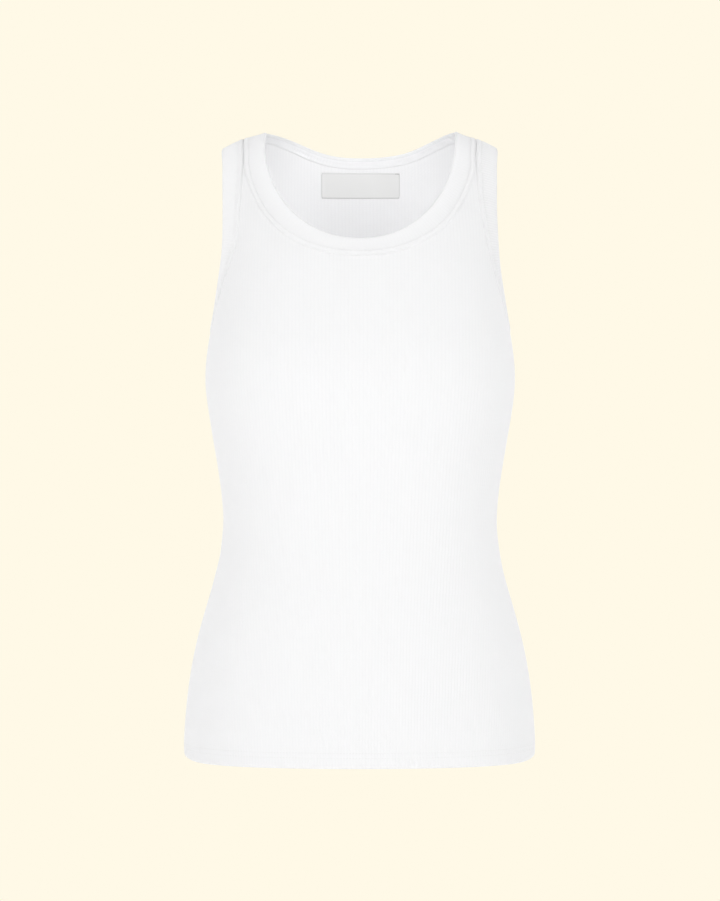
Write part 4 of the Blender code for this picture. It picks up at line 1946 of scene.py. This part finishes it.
@dataclass
class Studio:
    """A pale floor and background, soft light all round, lamps in front, and the camera.

    Its sizes and places are in metres.
    """

    background: tuple[float, float, float, float] = (1.0, 0.947, 0.799, 1.0)
    light_from_sides: float = 0.58
    light_from_behind: float = 1.15
    light_from_above: float = 0.91
    light_from_below: float = 1.03
    light_from_front_corners: float = 1.46
    bounces: int = 10
    floor_height: float = -1.35
    floor_size: float = 60.0
    lamp_power: float = 2.5
    lamp_size: float = 0.6
    lamp_distance: float = 1.6
    lamp_azimuth: float = math.radians(20.0)
    lamp_height: float = -0.3
    lamp_aim: tuple[float, float, float] = (0.0, 0.0, -0.28)
    neck_lamp_power: float = 53.0
    neck_lamp_spread: float = math.radians(4.8)
    neck_lamp_blend: float = 0.6
    neck_lamp_size: float = 0.02
    neck_lamp_place: tuple[float, float, float] = (0.0, -2.3, 0.62)
    neck_lamp_aim: tuple[float, float, float] = (0.0, 0.075, -0.038)
    lens: float = 114.17
    camera_place: tuple[float, float, float] = (0.0004, -2.712, -0.2897)

    def build(self) -> None:
        """Set up the whole studio."""
        bpy.context.scene.view_settings.view_transform = "Standard"
        bpy.context.scene.cycles.diffuse_bounces = self.bounces
        self.world()
        self.floor()
        for side in Side:
            self.lamp(side)
        self.neck_lamp()
        self.camera()

    def world(self) -> None:
        """White light from all round, and the plain background that the camera sees."""
        world = bpy.data.worlds.new("studio")
        world.use_nodes = True
        bpy.context.scene.world = world
        tree = Tree(world.node_tree)
        world.node_tree.nodes.clear()
        seen = tree.node("ShaderNodeBackground")
        seen.inputs["Color"].default_value = self.background
        light = tree.node("ShaderNodeBackground")
        light.inputs["Color"].default_value = (1.0, 1.0, 1.0, 1.0)
        tree.feed(light.inputs["Strength"], self.surround(tree))
        path = tree.node("ShaderNodeLightPath")
        mix = tree.node("ShaderNodeMixShader")
        tree.feed(mix.inputs[0], path.outputs["Is Camera Ray"])
        tree.feed(mix.inputs[1], light.outputs[0])
        tree.feed(mix.inputs[2], seen.outputs[0])
        tree.feed(tree.node("ShaderNodeOutputWorld").inputs["Surface"], mix.outputs[0])

    def surround(self, tree: Tree) -> bpy.types.NodeSocket:
        """The strength of the light from each direction, which fades softly from side to side.

        Args:
            tree: The world's tree.

        Returns:
            The strength.
        """
        direction = tree.node("ShaderNodeSeparateXYZ")
        tree.feed(direction.inputs[0], tree.node("ShaderNodeTexCoord").outputs["Generated"])

        def facing(axis: str, sign: float) -> bpy.types.NodeSocket:
            """The square of how far the direction faces one way."""
            ahead = tree.math("MAXIMUM", tree.math("MULTIPLY", direction.outputs[axis], sign), 0.0)
            return tree.math("MULTIPLY", ahead, ahead)

        sideways = tree.math("MULTIPLY", direction.outputs["X"], direction.outputs["X"])
        # The product is a quarter where the direction faces a front corner, so this makes it 1
        corners = tree.math("MULTIPLY", tree.math("MULTIPLY", sideways, facing("Y", -1.0)), 4.0)
        total = tree.math("MULTIPLY", sideways, self.light_from_sides)
        for share, strength in (
            (facing("Y", 1.0), self.light_from_behind),
            (facing("Z", 1.0), self.light_from_above),
            (facing("Z", -1.0), self.light_from_below),
            (corners, self.light_from_front_corners),
        ):
            total = tree.math("MULTIPLY_ADD", share, strength, total)
        return total

    def floor(self) -> None:
        """A plain pale floor in the background's colour, far below, which adds no light."""
        bm = bmesh.new()
        bmesh.ops.create_grid(bm, x_segments=1, y_segments=1, size=self.floor_size / 2)
        bmesh.ops.translate(bm, verts=bm.verts, vec=(0, 0, self.floor_height))
        made = bpy.data.materials.new("pale floor")
        made.use_nodes = True
        made.node_tree.nodes.clear()
        tree = Tree(made.node_tree)
        glow = tree.node("ShaderNodeEmission")
        glow.inputs["Color"].default_value = self.background
        clear = tree.node("ShaderNodeBsdfTransparent")
        path = tree.node("ShaderNodeLightPath")
        mix = tree.node("ShaderNodeMixShader")
        tree.feed(mix.inputs[0], path.outputs["Is Camera Ray"])
        tree.feed(mix.inputs[1], clear.outputs[0])
        tree.feed(mix.inputs[2], glow.outputs[0])
        tree.feed(tree.node("ShaderNodeOutputMaterial").inputs["Surface"], mix.outputs[0])
        new_object("floor", bm, made)

    def lamp(self, side: Side) -> None:
        """Hang one soft square lamp, in front and level with the garment.

        Args:
            side: The side that it is on.
        """
        light = bpy.data.lights.new(f"lamp {side.name.lower()}", "AREA")
        light.size = self.lamp_size
        light.energy = self.lamp_power
        azimuth = side.value * self.lamp_azimuth
        away = self.lamp_distance
        place = (away * math.sin(azimuth), -away * math.cos(azimuth), self.lamp_height)
        self.hang(light, place, self.lamp_aim)

    def neck_lamp(self) -> None:
        """A narrow lamp that shines in over the front neck, on to the inside of the back."""
        light = bpy.data.lights.new("neck lamp", "SPOT")
        light.energy = self.neck_lamp_power
        light.spot_size = self.neck_lamp_spread
        light.spot_blend = self.neck_lamp_blend
        light.shadow_soft_size = self.neck_lamp_size
        self.hang(light, self.neck_lamp_place, self.neck_lamp_aim)

    def hang(self, light: bpy.types.Light, place: Sequence[float], aim: Sequence[float]) -> None:
        """Put a lamp in its place, out of the camera's sight, and turn it to what it lights.

        Args:
            light: The lamp.
            place: Where it hangs.
            aim: What it points at.
        """
        made = bpy.data.objects.new(light.name, light)
        made.location = place
        way = Vector(aim) - Vector(place)
        made.rotation_euler = way.to_track_quat("-Z", "Y").to_euler()
        made.visible_camera = False
        bpy.context.scene.collection.objects.link(made)

    def camera(self) -> None:
        """The camera, level and straight in front."""
        data = bpy.data.cameras.new("camera")
        data.lens = self.lens
        made = bpy.data.objects.new("camera", data)
        made.location = self.camera_place
        made.rotation_euler = (math.pi / 2, 0, 0)
        bpy.context.scene.collection.objects.link(made)
        bpy.context.scene.camera = made


# ---------------------------------------------------------------------------------------------
# The garment


@dataclass
class TankTop:
    """The whole garment, in the order that it is sewn."""

    neck_rib_pitch: float = 3.4
    neck_relief: float = 0.05
    arm_rib_pitch: float = 2.55
    arm_relief: dict[Side, float] = field(default_factory=lambda: {Side.RIGHT: 0.19, Side.LEFT: 0.09})
    shoulder_join: float = 230.0
    shoulder_join_lean: float = 0.2
    underarm_join: float = 236.0
    hem_stitch_depth: float = 0.20

    def build(self, finishes: Wardrobe) -> None:
        """Make every piece.

        Args:
            finishes: All the garment's finishes.
        """
        arm = armhole_edge()
        neck = neck_edge(arm)
        front = BodyPanel(
            "front_cloth", "front_panel", behind=False, neck=neck, arm=arm,
            flat=(0.493, 0.596), area=0.213, upper_relief=0.3,
        )
        back = BodyPanel(
            "back_cloth", "back_panel", behind=True, neck=neck, arm=arm,
            flat=(0.431, 0.617), area=0.198, upper_relief=0.8,
        )
        for panel in (front, back):
            panel.build(finishes.panel)
        neck_band = FoldedBand(
            "neck_binding", "neck_band", neck, Side.RIGHT, self.neck_rib_pitch, flat=(0.66, 0.033),
            join=self.shoulder_join, join_lean=self.shoulder_join_lean, relief=self.neck_relief,
        )
        # The neck band's fold takes the darker copy, painted shade
        self.bind(neck_band, "neck_stitches", finishes.band, finishes.fold_shade, finishes)
        for side in Side:
            word = side.name.lower()
            arm_band = FoldedBand(
                f"armhole_binding_{word}", f"armhole_band_{word}", arm, side, self.arm_rib_pitch,
                flat=(0.43, 0.035), join=self.underarm_join, join_lean=0.0, relief=self.arm_relief[side],
            )
            # The -X armhole's band takes the paler copy all over, a painted highlight; the +X one a paler
            # copy with stronger painted shade between its ribs
            cloth = finishes.spread if side is Side.RIGHT else finishes.pressed
            self.bind(arm_band, f"armhole_stitches_{word}", cloth, cloth, finishes)
        for panel in (front, back):
            self.stitch_hem(panel, finishes.thread)
        NeckLabel().build(finishes.ribbon, finishes.tack)

    def bind(
        self,
        band: FoldedBand,
        stitches: str,
        leaf: bpy.types.Material,
        fold: bpy.types.Material,
        finishes: Wardrobe,
    ) -> None:
        """Fold a band over its edge and stitch it down.

        Args:
            band: The band, ready to build.
            stitches: The name of its stitches.
            leaf: The finish of its outer leaf.
            fold: The finish of the inside of its fold.
            finishes: All the garment's finishes.
        """
        # The inner leaf and the ridge beyond the stitches take the paler copy, a painted highlight
        band.build({Zone.LEAF: leaf, Zone.FOLD: fold, Zone.PRESSED: finishes.pressed})
        sewing = Stitching(stitches, band.node)
        sewing.build([(*band.stitch_places(sewing.pitch), True)], finishes.thread)

    def stitch_hem(self, panel: BodyPanel, thread: bpy.types.Material) -> None:
        """Run twin needles along one panel's turned hem.

        Args:
            panel: The panel, built.
            thread: The thread's finish.
        """
        sewing = Stitching(f"hem_stitches_{'back' if panel.behind else 'front'}", panel.node)
        rows = []
        for above_hem in HEM_STITCH_HEIGHTS:
            run = panel.run_table[-1] - above_hem
            limit = float(panel.seam_at(np.array([run]))[0])
            pitch = float(np.interp(run, panel.run_table, panel.pitch))
            count = int(2 * limit * pitch / sewing.pitch)
            ribs = (np.arange(count) + 0.5 - count / 2) * 2 * limit / count
            runs = np.full(count, run)
            points, normals, offset = panel.place(ribs, runs)
            sunk = offset - self.hem_stitch_depth
            rows.append((points + sunk[:, None] * normals, normals, False))
        sewing.build(rows, thread)


def main() -> None:
    """Dress the frame and set up the studio."""
    logging.basicConfig(level=logging.INFO, format="%(message)s")
    TankTop().build(Wardrobe())
    Studio().build()


if __name__ == "__main__":
    main()
